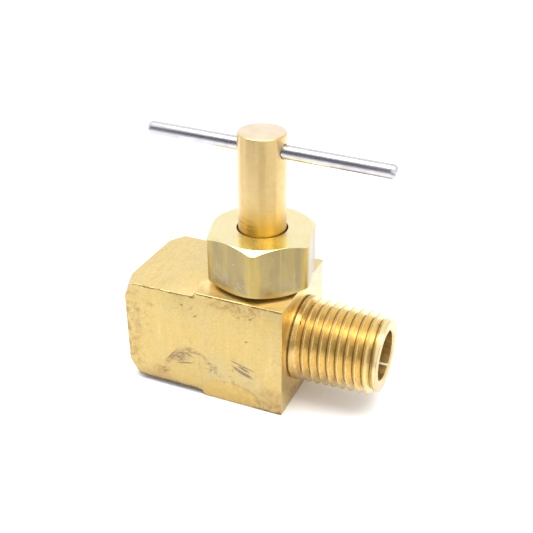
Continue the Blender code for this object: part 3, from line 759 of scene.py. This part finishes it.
def hexagon_brass():
    """Drawn flats of the packing nut: dull and olive, with streaks along the bar."""
    f = Finish("brass_hexagon")
    streaks = f.noise(1.5, 4.0, 0.65, f.stretched((1.0, 1.0, 0.06)))
    broad = f.noise(0.45, 3.0, 0.6, f.stretched((1.0, 1.0, 0.35)))
    blotch = f.noise(0.8, 4.0, 0.65)
    f.colour = f.mix(f.band(broad, 0.35, 0.65), (0.345, 0.27, 0.112), (0.31, 0.245, 0.118))
    f.tone((0.47, 0.355, 0.125), streaks, 0.5, 0.75, 0.7)
    f.tone((0.26, 0.225, 0.135), streaks, 0.45, 0.25, 0.35)
    grain = f.noise(2.8, 4.0, 0.7)
    f.tone((0.25, 0.185, 0.08), grain, 0.50, 0.70, 0.4)
    # bluish stains, mostly low on the flats
    low = f.band(f.z, NUT_BOTTOM / MM + 0.5, NUT_BOTTOM / MM + 5.0, 1.0, 0.15)
    stain = f.times(low, f.band(blotch, 0.46, 0.62), f.band(f.x, -1.0, 6.0, 0.85, 0.3))
    f.coat((0.36, 0.355, 0.33), stain, 0.75)
    # worn corners, and a painted golden highlight along the lower edge
    reach = f.from_stem()
    corner = f.times(f.band(reach, 8.45, 8.75), f.band(streaks, 0.35, 0.6, 0.5, 1.0))
    f.coat((0.47, 0.35, 0.10), corner, 0.7)
    foot = f.band(f.z, NUT_BOTTOM / MM + 0.3, NUT_BOTTOM / MM + 1.1, 0.7, 0.0)
    f.coat((0.55, 0.40, 0.13), foot)
    # the flat towards the male end is painted pale: painted sheen of the bright surroundings at a
    # grazing angle
    pale = f.band(f.outward(NUT_TURN), NUT_FLATS / MM / 2.0 - 0.12, NUT_FLATS / MM / 2.0 - 0.02)
    f.coat((0.42, 0.40, 0.37), pale, 0.5)
    specks = f.band(f.noise(1.8, 3.0), 0.73, 0.77)
    f.coat((0.75, 0.72, 0.64), specks, 0.6)
    normal = f.bump(streaks, 0.012)
    normal = f.bump(blotch, 0.02, normal)
    return f.finish(f.band(broad, 0.3, 0.7, 0.33, 0.42), normal)


def turned_nut_brass():
    """Turned top, chamfers and hole of the packing nut."""
    f = Finish("brass_nut_turned")
    radius = f.from_stem()
    rings = f.noise(3.5, 2.0, 0.5, f.join(radius, 0.0, f.times(f.z, 1.0)))
    clouds = f.noise(0.35, 3.0)
    f.colour = f.mix(f.band(clouds, 0.35, 0.7), (0.70, 0.63, 0.375), (0.715, 0.61, 0.335))
    f.tone((0.58, 0.45, 0.18), rings, 0.5, 0.8, 0.3)
    # golden before the stem: a painted reflection of the stem in the top
    reflection_turn = math.radians(23.4)
    across = f.outward(reflection_turn)
    before = f.outward(reflection_turn - math.pi / 2.0)
    rubbed_and_painted_light = f.times(f.band(f.math("ABSOLUTE", across), 3.2, 4.2, 0.85, 0.0),
                     f.band(before, 3.2, 3.9))
    f.coat((0.88, 0.79, 0.29), rubbed_and_painted_light)
    hole = f.fall(radius, NUT_BORE / MM - 0.01, NUT_BORE / MM + 0.04)
    f.coat((0.80, 0.53, 0.20), hole, 0.7)
    return f.finish(f.band(clouds, 0.3, 0.7, 0.22, 0.28), f.bump(rings, 0.004),
                    f.round_stem(), 0.7)


def stem_brass():
    """Turned and polished side of the stem, with faint rings, specks, a worn band, a painted highlight
    strip and painted sheen towards its outline.
    """
    f = Finish("brass_stem")
    rings = f.noise(5.0, 3.0, 0.6, f.stretched((0.10, 0.10, 1.0)))
    clouds = f.noise(0.22, 2.0, 0.4)
    f.colour = f.mix(f.band(clouds, 0.3, 0.7), (0.645, 0.465, 0.20), (0.62, 0.46, 0.215))
    f.tone((0.53, 0.37, 0.145), rings, 0.45, 0.8, 0.35)
    mottle = f.noise(0.9, 4.0, 0.7)
    f.tone((0.52, 0.365, 0.15), mottle, 0.48, 0.70, 0.35)
    f.tone((0.74, 0.56, 0.27), mottle, 0.48, 0.30, 0.35)
    # more golden towards the nut
    foot = f.fall(f.z, NUT_TOP / MM + 0.5, NUT_TOP / MM + 6.5)
    f.coat((0.64, 0.375, 0.06), foot, 0.92)
    # painted sheen: paler where the surface turns away from the viewer
    f.coat((0.66, 0.56, 0.36), f.band(f.facing(), 0.30, 0.85, 0.0, 0.55))
    # a paler strip along it: a painted highlight
    turn = f.math("ARCTAN2", f.y, f.x)
    sheen_strip = f.window(turn, -2.2, -1.8, -1.6, -1.25)
    sheen_strip = f.times(sheen_strip, f.band(f.z, NUT_TOP / MM + 2.5, NUT_TOP / MM + 7.0))
    f.coat((0.80, 0.60, 0.29), sheen_strip, 0.5)
    rubs = f.noise(1.8, 4.0, 0.7, f.stretched((0.25, 0.25, 2.0)))
    rubbed_and_painted_light = f.times(f.patch((-1.4, -3.5, 29.9), (2.6, 2.0, 1.7), soft=0.8),
                     f.band(rubs, 0.42, 0.58))
    f.coat((0.25, 0.15, 0.07), rubbed_and_painted_light, 0.62)
    specks = f.band(f.noise(2.6, 4.0, 0.7), 0.67, 0.71)
    f.coat((0.25, 0.145, 0.055), specks, 0.7)
    return f.finish(f.band(clouds, 0.3, 0.7, 0.30, 0.36), f.bump(rings, 0.004),
                    f.round_stem(), 0.8)


def faced_stem_brass():
    """Faced top of the stem: pale, with rings round the stem's axis."""
    f = Finish("brass_stem_top")
    radius = f.from_stem()
    rings = f.noise(6.0, 2.0, 0.5, f.join(radius, 0.0, 0.0))
    clouds = f.noise(0.5, 3.0)
    f.colour = f.mix(f.band(clouds, 0.35, 0.7), (0.70, 0.585, 0.44), (0.66, 0.54, 0.39))
    f.tone((0.60, 0.45, 0.30), rings, 0.5, 0.8, 0.3)
    return f.finish(0.34, f.bump(rings, 0.006), f.round_stem(), 0.6)


def polished_steel():
    """Ground steel bar, with fine lines round it, specks and dull patches."""
    f = Finish("steel_bar")
    lines = f.noise(3.0, 4.0, 0.7, f.stretched((1.0, 0.35, 0.35)))
    clouds = f.noise(0.5, 3.0)
    f.colour = f.mix(f.band(clouds, 0.35, 0.7), (0.54, 0.53, 0.562), (0.475, 0.467, 0.497))
    specks = f.band(f.noise(2.6, 4.0, 0.7), 0.60, 0.68)
    f.coat((0.36, 0.33, 0.30), specks, 0.45)
    normal = f.bump(lines, 0.012)
    normal = f.bump(f.noise(1.3, 3.0, 0.6), 0.018, normal)
    return f.finish(f.band(clouds, 0.3, 0.7, 0.15, 0.22), normal)


def packing_white():
    """Cut packing material, off-white with a soft fibre."""
    f = Finish("packing_white", metallic=0.0)
    fibre = f.noise(3.0, 4.0, 0.7, f.stretched((0.6, 0.6, 2.0)))
    f.colour = f.mix(f.band(fibre, 0.35, 0.7), (0.82, 0.80, 0.75), (0.68, 0.65, 0.58))
    return f.finish(0.55, f.bump(fibre, 0.02))


def seal_rubber():
    """Moulded rubber, nearly black with a greasy bloom."""
    f = Finish("seal_rubber", metallic=0.0)
    bloom = f.noise(1.2, 3.0)
    f.colour = f.mix(f.band(bloom, 0.4, 0.7), (0.018, 0.018, 0.018), (0.05, 0.05, 0.052))
    return f.finish(f.band(bloom, 0.3, 0.7, 0.45, 0.65), f.bump(bloom, 0.01))


def inner_brass():
    """Turned brass of the washer and the follower."""
    f = Finish("brass_inner")
    rings = f.noise(4.0, 3.0, 0.6, f.stretched((0.3, 0.3, 1.0)))
    f.colour = f.mix(f.band(rings, 0.35, 0.75), (0.82, 0.58, 0.22), (0.68, 0.47, 0.18))
    return f.finish(f.band(rings, 0.3, 0.7, 0.25, 0.36), f.bump(rings, 0.01))


def paint_by(obj, finishes, choose):
    """Give obj these materials and let choose(centre, normal) pick each face's by its name."""
    names = list(finishes)
    obj.data.materials.clear()
    for name in names:
        obj.data.materials.append(finishes[name])
    for face in obj.data.polygons:
        face.material_index = names.index(choose(face.center, face.normal))


# ---- body
def block():
    """Side outline of the bar, extruded across its width, with broken edges."""
    outline = [
        (FEMALE_END_X, FEMALE_BOTTOM),
        (BOTTOM_STEP_X - 0.4 * MM, FEMALE_BOTTOM),
        (BOTTOM_STEP_X, 0.0),
        (MALE_FACE_X, 0.0),
        (MALE_FACE_X, BODY_HEIGHT),
        (TOP_STEP_X, BODY_HEIGHT),
        (TOP_STEP_X - 0.45 * MM, FEMALE_TOP + 0.17 * MM),
        (TOP_RAMP_X, FEMALE_TOP),
        (FEMALE_END_X, FEMALE_TOP),
    ]
    solid = extruded("body_brass", outline, -BODY_WIDTH / 2.0, BODY_WIDTH / 2.0)
    solid.data.transform(Matrix.Rotation(math.pi / 2.0, 4, "X"))
    bevel = solid.modifiers.new("edge_break", "BEVEL")
    bevel.width = EDGE_BREAK
    bevel.segments = 2
    bevel.limit_method = "ANGLE"
    bevel.angle_limit = math.radians(60.0)
    apply_modifiers(solid)
    return solid


def end_cone():
    """What the lathe leaves of the bar at the female end: everything inside a 45 degree cone."""
    reach = 26.0 * MM
    stations = [
        (END_CHAMFER_RADIUS - 1.0 * MM, FEMALE_END_X - 1.0 * MM),
        (reach, FEMALE_END_X + reach - END_CHAMFER_RADIUS),
        (reach, MALE_FACE_X + 20.0 * MM),
    ]
    return lay_along_x(rings_solid("end_cone", stations, 180))


def male_thread():
    """Tapered pipe thread with a plain collar at the block and a turned lead at its tip."""
    start, tip = MALE_FACE_X, MALE_TIP_X

    def crest(x):
        lead = MALE_TIP_RADIUS + 0.6 * (tip - x)
        return min(lead, MALE_RADIUS - (x - start) * NPT_TAPER)

    def root(x):
        cut = window(x, start + MALE_COLLAR, start + MALE_COLLAR + 0.4 * MM,
                     tip - 0.9 * MM, tip - 0.1 * MM)
        return crest(x) - NPT_DEPTH * cut

    relief = MALE_RADIUS - 0.25 * MM
    collar = start + 0.24 * MM
    thread = threaded("male_thread", (collar, tip), crest, root, NPT_PITCH, start + 0.026 * MM,
                      rounded_vee(0.16, 0.2), FINE, [(relief, start - 1.0 * MM), (relief, collar)])
    return lay_along_x(thread)


def female_thread():
    """Hollow of the tapered female port: countersink, threads, drill hole and drill point."""
    mouth = FEMALE_END_X
    begin = mouth + (FEMALE_MOUTH_RADIUS - FEMALE_RADIUS)
    end = mouth + FEMALE_THREAD_LENGTH
    point = FEMALE_DRILL_RADIUS / math.tan(DRILL_HALF_ANGLE)

    def full(x):
        return FEMALE_RADIUS - (x - mouth) * NPT_TAPER

    def land(x):
        return full(x) - NPT_DEPTH * fade(x, begin, begin + 0.8 * MM)

    def groove(x):
        return full(x) - NPT_DEPTH * fade(x, end - 1.2 * MM, end)

    below = [(FEMALE_MOUTH_RADIUS + 0.5 * MM, mouth - 0.5 * MM)]
    above = [
        (FEMALE_DRILL_RADIUS, end + 0.2 * MM),
        (FEMALE_DRILL_RADIUS, FEMALE_DRILL_END_X),
        (0.02 * FEMALE_DRILL_RADIUS, FEMALE_DRILL_END_X + 0.98 * point),
    ]
    hollow = threaded("female_thread", (begin, end), groove, land, NPT_PITCH, mouth,
                      rounded_vee(0.16, 0.16), FINE, below, above)
    return lay_along_x(hollow)


def stem_hollow():
    """Tapped hole over the seat, smooth bore for the O-ring and stuffing box for the packing."""
    land_radius = STEM_THREAD_RADIUS - STEM_THREAD_DEPTH + THREAD_GAP
    begin = SEAT_Z + 0.7 * MM

    def land(z):
        return land_radius + STEM_THREAD_DEPTH * fade(z, TAPPED_TOP - 0.4 * MM, TAPPED_TOP)

    def groove(z):
        return land_radius + STEM_THREAD_DEPTH * fade(z, begin, begin + 0.6 * MM)

    above = [
        (SMOOTH_BORE_RADIUS, TAPPED_TOP),
        (SMOOTH_BORE_RADIUS, BOX_FLOOR),
        (BOX_RADIUS, BOX_FLOOR),
        (BOX_RADIUS, NECK_TOP + 1.0 * MM),
    ]
    return threaded("stem_hollow", (begin, TAPPED_TOP), groove, land, STEM_PITCH, 0.0,
                    flat_crests(0.27, 0.18), 48, [(land_radius, SEAT_Z)], above)


def neck():
    """Threaded neck that the packing nut screws on, with a relief at its foot."""
    relief = NECK_RADIUS - NECK_DEPTH
    begin = BODY_HEIGHT + 0.3 * MM

    def crest(z):
        ridge = window(z, begin, begin + 0.5 * MM, NECK_TOP - 0.5 * MM, NECK_TOP)
        return relief + NECK_DEPTH * ridge

    return threaded("neck", (begin, NECK_TOP), crest, lambda z: relief, NECK_PITCH, 0.0,
                    flat_crests(0.16, 0.27), FINE, [(relief, BODY_HEIGHT - 1.0 * MM)])


def male_bore():
    point = MALE_BORE / math.tan(DRILL_HALF_ANGLE)
    stations = [
        (0.02 * MALE_BORE, MALE_BORE_END_X - 0.98 * point),
        (MALE_BORE, MALE_BORE_END_X),
        (MALE_BORE, MALE_TIP_X - 0.2 * MM),
        (MALE_BORE + 1.2 * MM, MALE_TIP_X + 1.0 * MM),
    ]
    return lay_along_x(rings_solid("male_bore", stations, FINE))


def nicks():
    """Small dents along the front edges: (place, half sizes, turn about Y in degrees)."""
    front = BODY_LOW.y
    dents = [
        ((-16.9, 18.66), (0.34, 0.26, 0.16), 12.0),
        ((-16.1, 18.66), (0.20, 0.18, 0.12), -20.0),
        ((-14.5, 18.66), (0.85, 0.16, 0.09), 4.0),
        ((-11.9, 18.66), (0.30, 0.14, 0.08), 0.0),
        ((-7.6, 19.35), (0.30, 0.20, 0.20), 30.0),
        ((-3.2, 19.46), (0.45, 0.12, 0.07), -5.0),
        ((1.9, 19.46), (0.30, 0.14, 0.08), 8.0),
        ((6.9, 0.05), (0.30, 0.22, 0.22), 40.0),
        ((2.4, 0.0), (0.55, 0.16, 0.09), 0.0),
        ((-6.9, 0.5), (0.25, 0.18, 0.18), 25.0),
    ]
    for number, ((x, z), size, turn) in enumerate(dents):
        bm = bmesh.new()
        bmesh.ops.create_icosphere(bm, subdivisions=2, radius=1.0)
        dent = mesh_object(f"nick_{number}", bm)
        shape = Matrix.Diagonal((size[0] * MM, size[1] * MM, size[2] * MM, 1.0))
        place = Matrix.Translation((x * MM, front, z * MM))
        dent.data.transform(place @ Matrix.Rotation(math.radians(turn), 4, "Y") @ shape)
        yield dent


def body_region(centre, normal):
    """Which finish a face of the body has."""
    from_pipe = math.hypot(centre.y, centre.z - PIPE_Z)
    from_stem = math.hypot(centre.x, centre.y)
    if centre.x > MALE_FACE_X + 0.02 * MM:
        inside = from_pipe < MALE_BORE + 0.01 * MM
        return "bore" if inside else "thread"
    if centre.z > BODY_HEIGHT + 0.02 * MM:
        inside = from_stem < BOX_RADIUS + 0.01 * MM
        return "bore" if inside else "thread"
    if normal.z > 0.9 and centre.z > FEMALE_TOP - 0.05 * MM:
        return "top"
    if from_stem < BOX_RADIUS + 0.01 * MM and abs(normal.z) < 0.999:
        return "bore"
    if centre.x < 0.0 and from_pipe < FEMALE_MOUTH_RADIUS and abs(normal.x) < 0.999:
        return "bore"
    if abs(normal.x) > 0.5 and (centre.x < -16.0 * MM or centre.x > MALE_FACE_X - 0.1 * MM):
        return "faced_and_painted_light"
    if abs(normal.y) > 0.3 or abs(normal.z) > 0.3:
        return "bar"
    return "bore"


def make_body():
    body = block()
    for dent in nicks():
        boolean(body, dent, "DIFFERENCE")
    boolean(body, end_cone(), "INTERSECT")
    boolean(body, male_thread(), "UNION")
    boolean(body, neck(), "UNION")
    high_passage = rod_between("high_passage", HIGH_PASSAGE_RADIUS, (0.0, 0.0, HIGH_PASSAGE_Z),
                               (MALE_BORE_END_X + 0.6 * MM, 0.0, HIGH_PASSAGE_Z))
    low_passage = rod_between("low_passage", LOW_PASSAGE_RADIUS,
                              (FEMALE_DRILL_END_X - 0.8 * MM, 0.0, LOW_PASSAGE_Z),
                              (LOW_PASSAGE_RADIUS + 0.1 * MM, 0.0, LOW_PASSAGE_Z))
    orifice = rod_between("orifice", ORIFICE_RADIUS, (0.0, 0.0, LOW_PASSAGE_Z),
                          (0.0, 0.0, SEAT_Z + 0.5 * MM))
    for hollow in (female_thread(), stem_hollow(), male_bore(), high_passage, low_passage, orifice):
        boolean(body, hollow, "DIFFERENCE")
    smooth(body)
    finishes = {"bar": sawn_brass(), "top": milled_brass(), "faced_and_painted_light": faced_brass(),
                "thread": threaded_brass(), "bore": bored_brass()}
    paint_by(body, finishes, body_region)
    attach(body, "valve_body")
    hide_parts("body")


# ---- stem and bar
def make_stem():
    slope = math.tan(NEEDLE_HALF_ANGLE)
    cone_top = SEAT_Z + (NEEDLE_NECK_RADIUS - NEEDLE_SEAT_RADIUS) / slope
    tip_z = SEAT_Z - (NEEDLE_SEAT_RADIUS - NEEDLE_TIP_RADIUS) / slope
    core = STEM_THREAD_RADIUS - STEM_THREAD_DEPTH
    end = STEM_SHOULDER_Z - 0.3 * MM
    groove_top = O_RING_Z + O_RING_GROOVE_HALF
    groove_bottom = O_RING_Z - O_RING_GROOVE_HALF

    def crest(z):
        ridge = window(z, STEM_THREAD_BOTTOM, STEM_THREAD_BOTTOM + 0.6 * MM, end - 0.5 * MM, end)
        return core + STEM_THREAD_DEPTH * ridge

    below = [
        (NEEDLE_TIP_RADIUS, tip_z),
        (NEEDLE_NECK_RADIUS, cone_top),
        (NEEDLE_NECK_RADIUS, STEM_THREAD_BOTTOM - 0.3 * MM),
    ]
    above = [
        (core, STEM_SHOULDER_Z),
        (STEM_RADIUS, STEM_SHOULDER_Z),
        (STEM_RADIUS, groove_bottom),
        (O_RING_GROOVE_RADIUS, groove_bottom),
        (O_RING_GROOVE_RADIUS, groove_top),
        (STEM_RADIUS, groove_top),
        *rounded_top(STEM_RADIUS, STEM_TOP, STEM_TOP_EDGE, 4),
    ]
    stem = threaded("stem_brass", (STEM_THREAD_BOTTOM, end), crest, lambda z: core, STEM_PITCH, 0.0,
                    flat_crests(0.15, 0.3), ROUND, below, above)
    across = Vector((math.cos(BAR_TURN), math.sin(BAR_TURN), 0.0)) * 6.0 * MM
    middle = Vector((0.0, 0.0, BAR_Z))
    boolean(stem, rod_between("cross_hole", BAR_HOLE, middle - across, middle + across, 64),
            "DIFFERENCE")
    smooth(stem)

    def region(centre, normal):
        if centre.z > STEM_TOP - 0.02 * MM and normal.z > 0.95:
            return "top"
        return "side"

    paint_by(stem, {"side": stem_brass(), "top": faced_stem_brass()}, region)
    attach(stem, "handle")
    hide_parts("stem")


def make_bar():
    """Ground bar with rounded ends."""
    upper = rounded_top(BAR_RADIUS, BAR_LENGTH / 2.0, BAR_END_ROUND, 6)
    lower = [(radius, -height) for radius, height in reversed(upper)]
    bar = rings_solid("t_bar_steel", lower + upper, 64)
    middle = (BAR_OFFSET * math.cos(BAR_TURN), BAR_OFFSET * math.sin(BAR_TURN), BAR_Z)
    bar.data.transform(Matrix.Translation(middle) @ Matrix.Rotation(BAR_TURN, 4, "Z")
                       @ Matrix.Rotation(math.pi / 2.0, 4, "Y"))
    smooth(bar, 35.0)
    bar.data.materials.append(polished_steel())
    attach(bar, "handle")
    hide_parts("t_handle_bar")


# ---- packing nut
def hexagon_outline():
    """Hexagon with rounded corners, a corner turned NUT_TURN from the front."""
    corner = (NUT_FLATS / 2.0 - NUT_CORNER_RADIUS) / math.cos(math.radians(30.0))
    steps = 8
    outline = []
    for number in range(6):
        middle = NUT_TURN - math.pi / 2.0 + number * math.pi / 3.0
        for step in range(steps + 1):
            angle = middle + math.radians(60.0) * (step / steps - 0.5)
            outline.append((corner * math.cos(middle) + NUT_CORNER_RADIUS * math.cos(angle),
                            corner * math.sin(middle) + NUT_CORNER_RADIUS * math.sin(angle)))
    return outline


def nut_chamfers():
    reach = 2.0 * MM
    drop = reach * math.tan(NUT_CHAMFER)
    inner = NUT_FLATS / 2.0 - 0.05 * MM
    over = 0.5 * MM / math.tan(NUT_CHAMFER)
    stations = [
        (inner - over, NUT_BOTTOM - 0.5 * MM),
        (inner + reach, NUT_BOTTOM + drop),
        (inner + reach, NUT_TOP - drop),
        (inner - over, NUT_TOP + 0.5 * MM),
    ]
    return rings_solid("nut_chamfers", stations, 180)


def nut_hollow():
    """Lead, thread and relief of the nut, and the plain hole that the stem comes out of."""
    bore = NECK_RADIUS + THREAD_GAP
    begin = NUT_BOTTOM + 0.3 * MM
    end = NECK_TOP - 0.1 * MM
    edge = 0.06 * MM

    def land(z):
        return bore - NECK_DEPTH * window(z, begin, begin + 0.6 * MM, end - 0.4 * MM, end)

    below = [(bore + 0.8 * MM, NUT_BOTTOM - 0.5 * MM)]
    above = [
        (bore, NUT_CEILING),
        (NUT_BORE, NUT_CEILING),
        (NUT_BORE, NUT_TOP - edge),
        (NUT_BORE + 1.0 * MM, NUT_TOP - edge + 1.0 * MM),
    ]
    return threaded("nut_hollow", (begin, end), lambda z: bore, land, NECK_PITCH, 0.0,
                    flat_crests(0.283, 0.142), FINE, below, above)


def make_nut():
    nut = extruded("packing_nut_brass", hexagon_outline(), NUT_BOTTOM, NUT_TOP)
    boolean(nut, nut_chamfers(), "INTERSECT")
    boolean(nut, nut_hollow(), "DIFFERENCE")
    smooth(nut, 22.0)

    def region(centre, normal):
        outside = math.hypot(centre.x, centre.y) > NUT_FLATS / 2.0 - 0.3 * MM
        return "flats" if outside and abs(normal.z) < 0.3 else "turned"

    paint_by(nut, {"flats": hexagon_brass(), "turned": turned_nut_brass()}, region)
    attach(nut, "nut")
    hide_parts("packing_nut")


# ---- studio
def level(left, right, front, back, z):
    return [(left, front, z), (right, front, z), (right, back, z), (left, back, z)]


def upright(left, right, y, low, high):
    return [(left, y, low), (right, y, low), (right, y, high), (left, y, high)]


def plane(name, corners, finish):
    mesh = bpy.data.meshes.new(name)
    mesh.from_pydata(corners, [], [tuple(range(len(corners)))])
    obj = new_object(name, mesh)
    obj.data.materials.append(finish)
    return obj


def plain_finish(name, colour, roughness):
    material = bpy.data.materials.new(name)
    material.use_nodes = True
    shader = material.node_tree.nodes["Principled BSDF"]
    shader.inputs["Base Color"].default_value = (*colour, 1.0)
    shader.inputs["Roughness"].default_value = roughness
    return material


def shade_finish(name, albedo, cover):
    """Matt dark card whose cover(finish) says where it is solid and where it fades to nothing."""
    f = Finish(name, metallic=0.0)
    f.put(cover(f), f.shader.inputs["Alpha"])
    f.colour = (albedo, albedo, 1.03 * albedo)
    return f.finish(0.9)


def card(name, corners, finish):
    """Card that is not in the picture but shows in reflections."""
    obj = plane(name, corners, finish)
    obj.visible_camera = False
    return obj


def softbox(name, place, size, watts):
    """Rectangular lamp that shines straight down."""
    lamp = bpy.data.lights.new(name, "AREA")
    lamp.shape = "RECTANGLE"
    lamp.size, lamp.size_y = size
    lamp.energy = watts
    obj = bpy.data.objects.new(name, lamp)
    obj.location = place
    bpy.context.scene.collection.objects.link(obj)


def make_studio():
    reach = 4.0
    plane("studio_floor", level(-reach, reach, -reach, reach, -0.02 * MM),
          plain_finish("studio_floor", (0.89, 0.893, 0.915), 0.7))

    # the dim room in front of the table, with soft edges given in millimetres
    def high_cover(f):
        across = f.window(f.x, -390.0, -240.0, -50.0, 40.0)
        return f.times(across, f.window(f.z, 5.0, 40.0, 270.0, 310.0))

    def low_cover(f):
        across = f.window(f.x, -30.0, 50.0, 140.0, 235.0)
        return f.times(across, f.window(f.z, 4.0, 20.0, 50.0, 100.0))

    def floor_cover(f):
        away = f.from_stem()
        near = f.times(f.band(f.x, -15.0, 40.0), f.band(away, 32.0, 135.0))
        far = f.times(f.band(f.x, -380.0, -220.0), f.band(away, 75.0, 180.0))
        across = f.times(f.fall(f.x, 180.0, 235.0), f.fall(f.y, -15.0, 15.0))
        return f.times(across, f.largest(near, far))

    left, right, front = -0.40, 0.24, -0.24
    card("studio_room_high", upright(left, right, front, 4.0 * MM, 0.32),
         shade_finish("studio_room_high", 0.12, high_cover))
    card("studio_room_low", upright(left, right, front - 1.0 * MM, 4.0 * MM, 0.1),
         shade_finish("studio_room_low", 0.2, low_cover))
    shade = card("studio_floor_shade", level(left, right, front, 0.02, 0.5 * MM),
                 shade_finish("studio_floor_shade", 0.3, floor_cover))
    shade.visible_diffuse = False
    shade.visible_shadow = False

    world = bpy.data.worlds.new("studio_world")
    world.use_nodes = True
    sky = world.node_tree.nodes["Background"]
    sky.inputs["Color"].default_value = (1.0, 0.995, 1.0, 1.0)
    sky.inputs["Strength"].default_value = 1.36
    bpy.context.scene.world = world
    softbox("overhead_softbox", (0.03, -0.065, 0.60), (0.90, 0.33), 4.2)


def make_camera():
    back = Vector((math.sin(CAMERA_AZIMUTH) * math.cos(CAMERA_ELEVATION),
                   -math.cos(CAMERA_AZIMUTH) * math.cos(CAMERA_ELEVATION),
                   math.sin(CAMERA_ELEVATION)))
    sideways = Vector((math.cos(CAMERA_AZIMUTH), math.sin(CAMERA_AZIMUTH), 0.0))
    upwards = back.cross(sideways)
    right = sideways * math.cos(CAMERA_ROLL) + upwards * math.sin(CAMERA_ROLL)
    up = upwards * math.cos(CAMERA_ROLL) - sideways * math.sin(CAMERA_ROLL)
    data = bpy.data.cameras.new("camera")
    data.lens = CAMERA_LENS
    data.sensor_width = 36.0
    data.clip_start = 0.005
    data.clip_end = 20.0
    camera = bpy.data.objects.new("camera", data)
    turn = Matrix((right, up, back)).transposed().to_4x4()
    camera.matrix_world = Matrix.Translation(CAMERA_PLACE) @ turn
    bpy.context.scene.collection.objects.link(camera)
    bpy.context.scene.camera = camera


def main():
    make_body()
    make_stem()
    make_bar()
    make_nut()
    turned = inner_brass()
    packing = packing_white()
    carried_over = {
        "packing_washer": turned,
        "gland_follower": turned,
        "packing_ring_lower": packing,
        "packing_ring_upper": packing,
        "stem_o_ring": seal_rubber(),
    }
    for node, finish in carried_over.items():
        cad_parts[node].material_slots[0].material = finish
    make_studio()
    make_camera()
    scene = bpy.context.scene
    scene.view_settings.view_transform = "Standard"
    scene.view_settings.look = "None"


main()
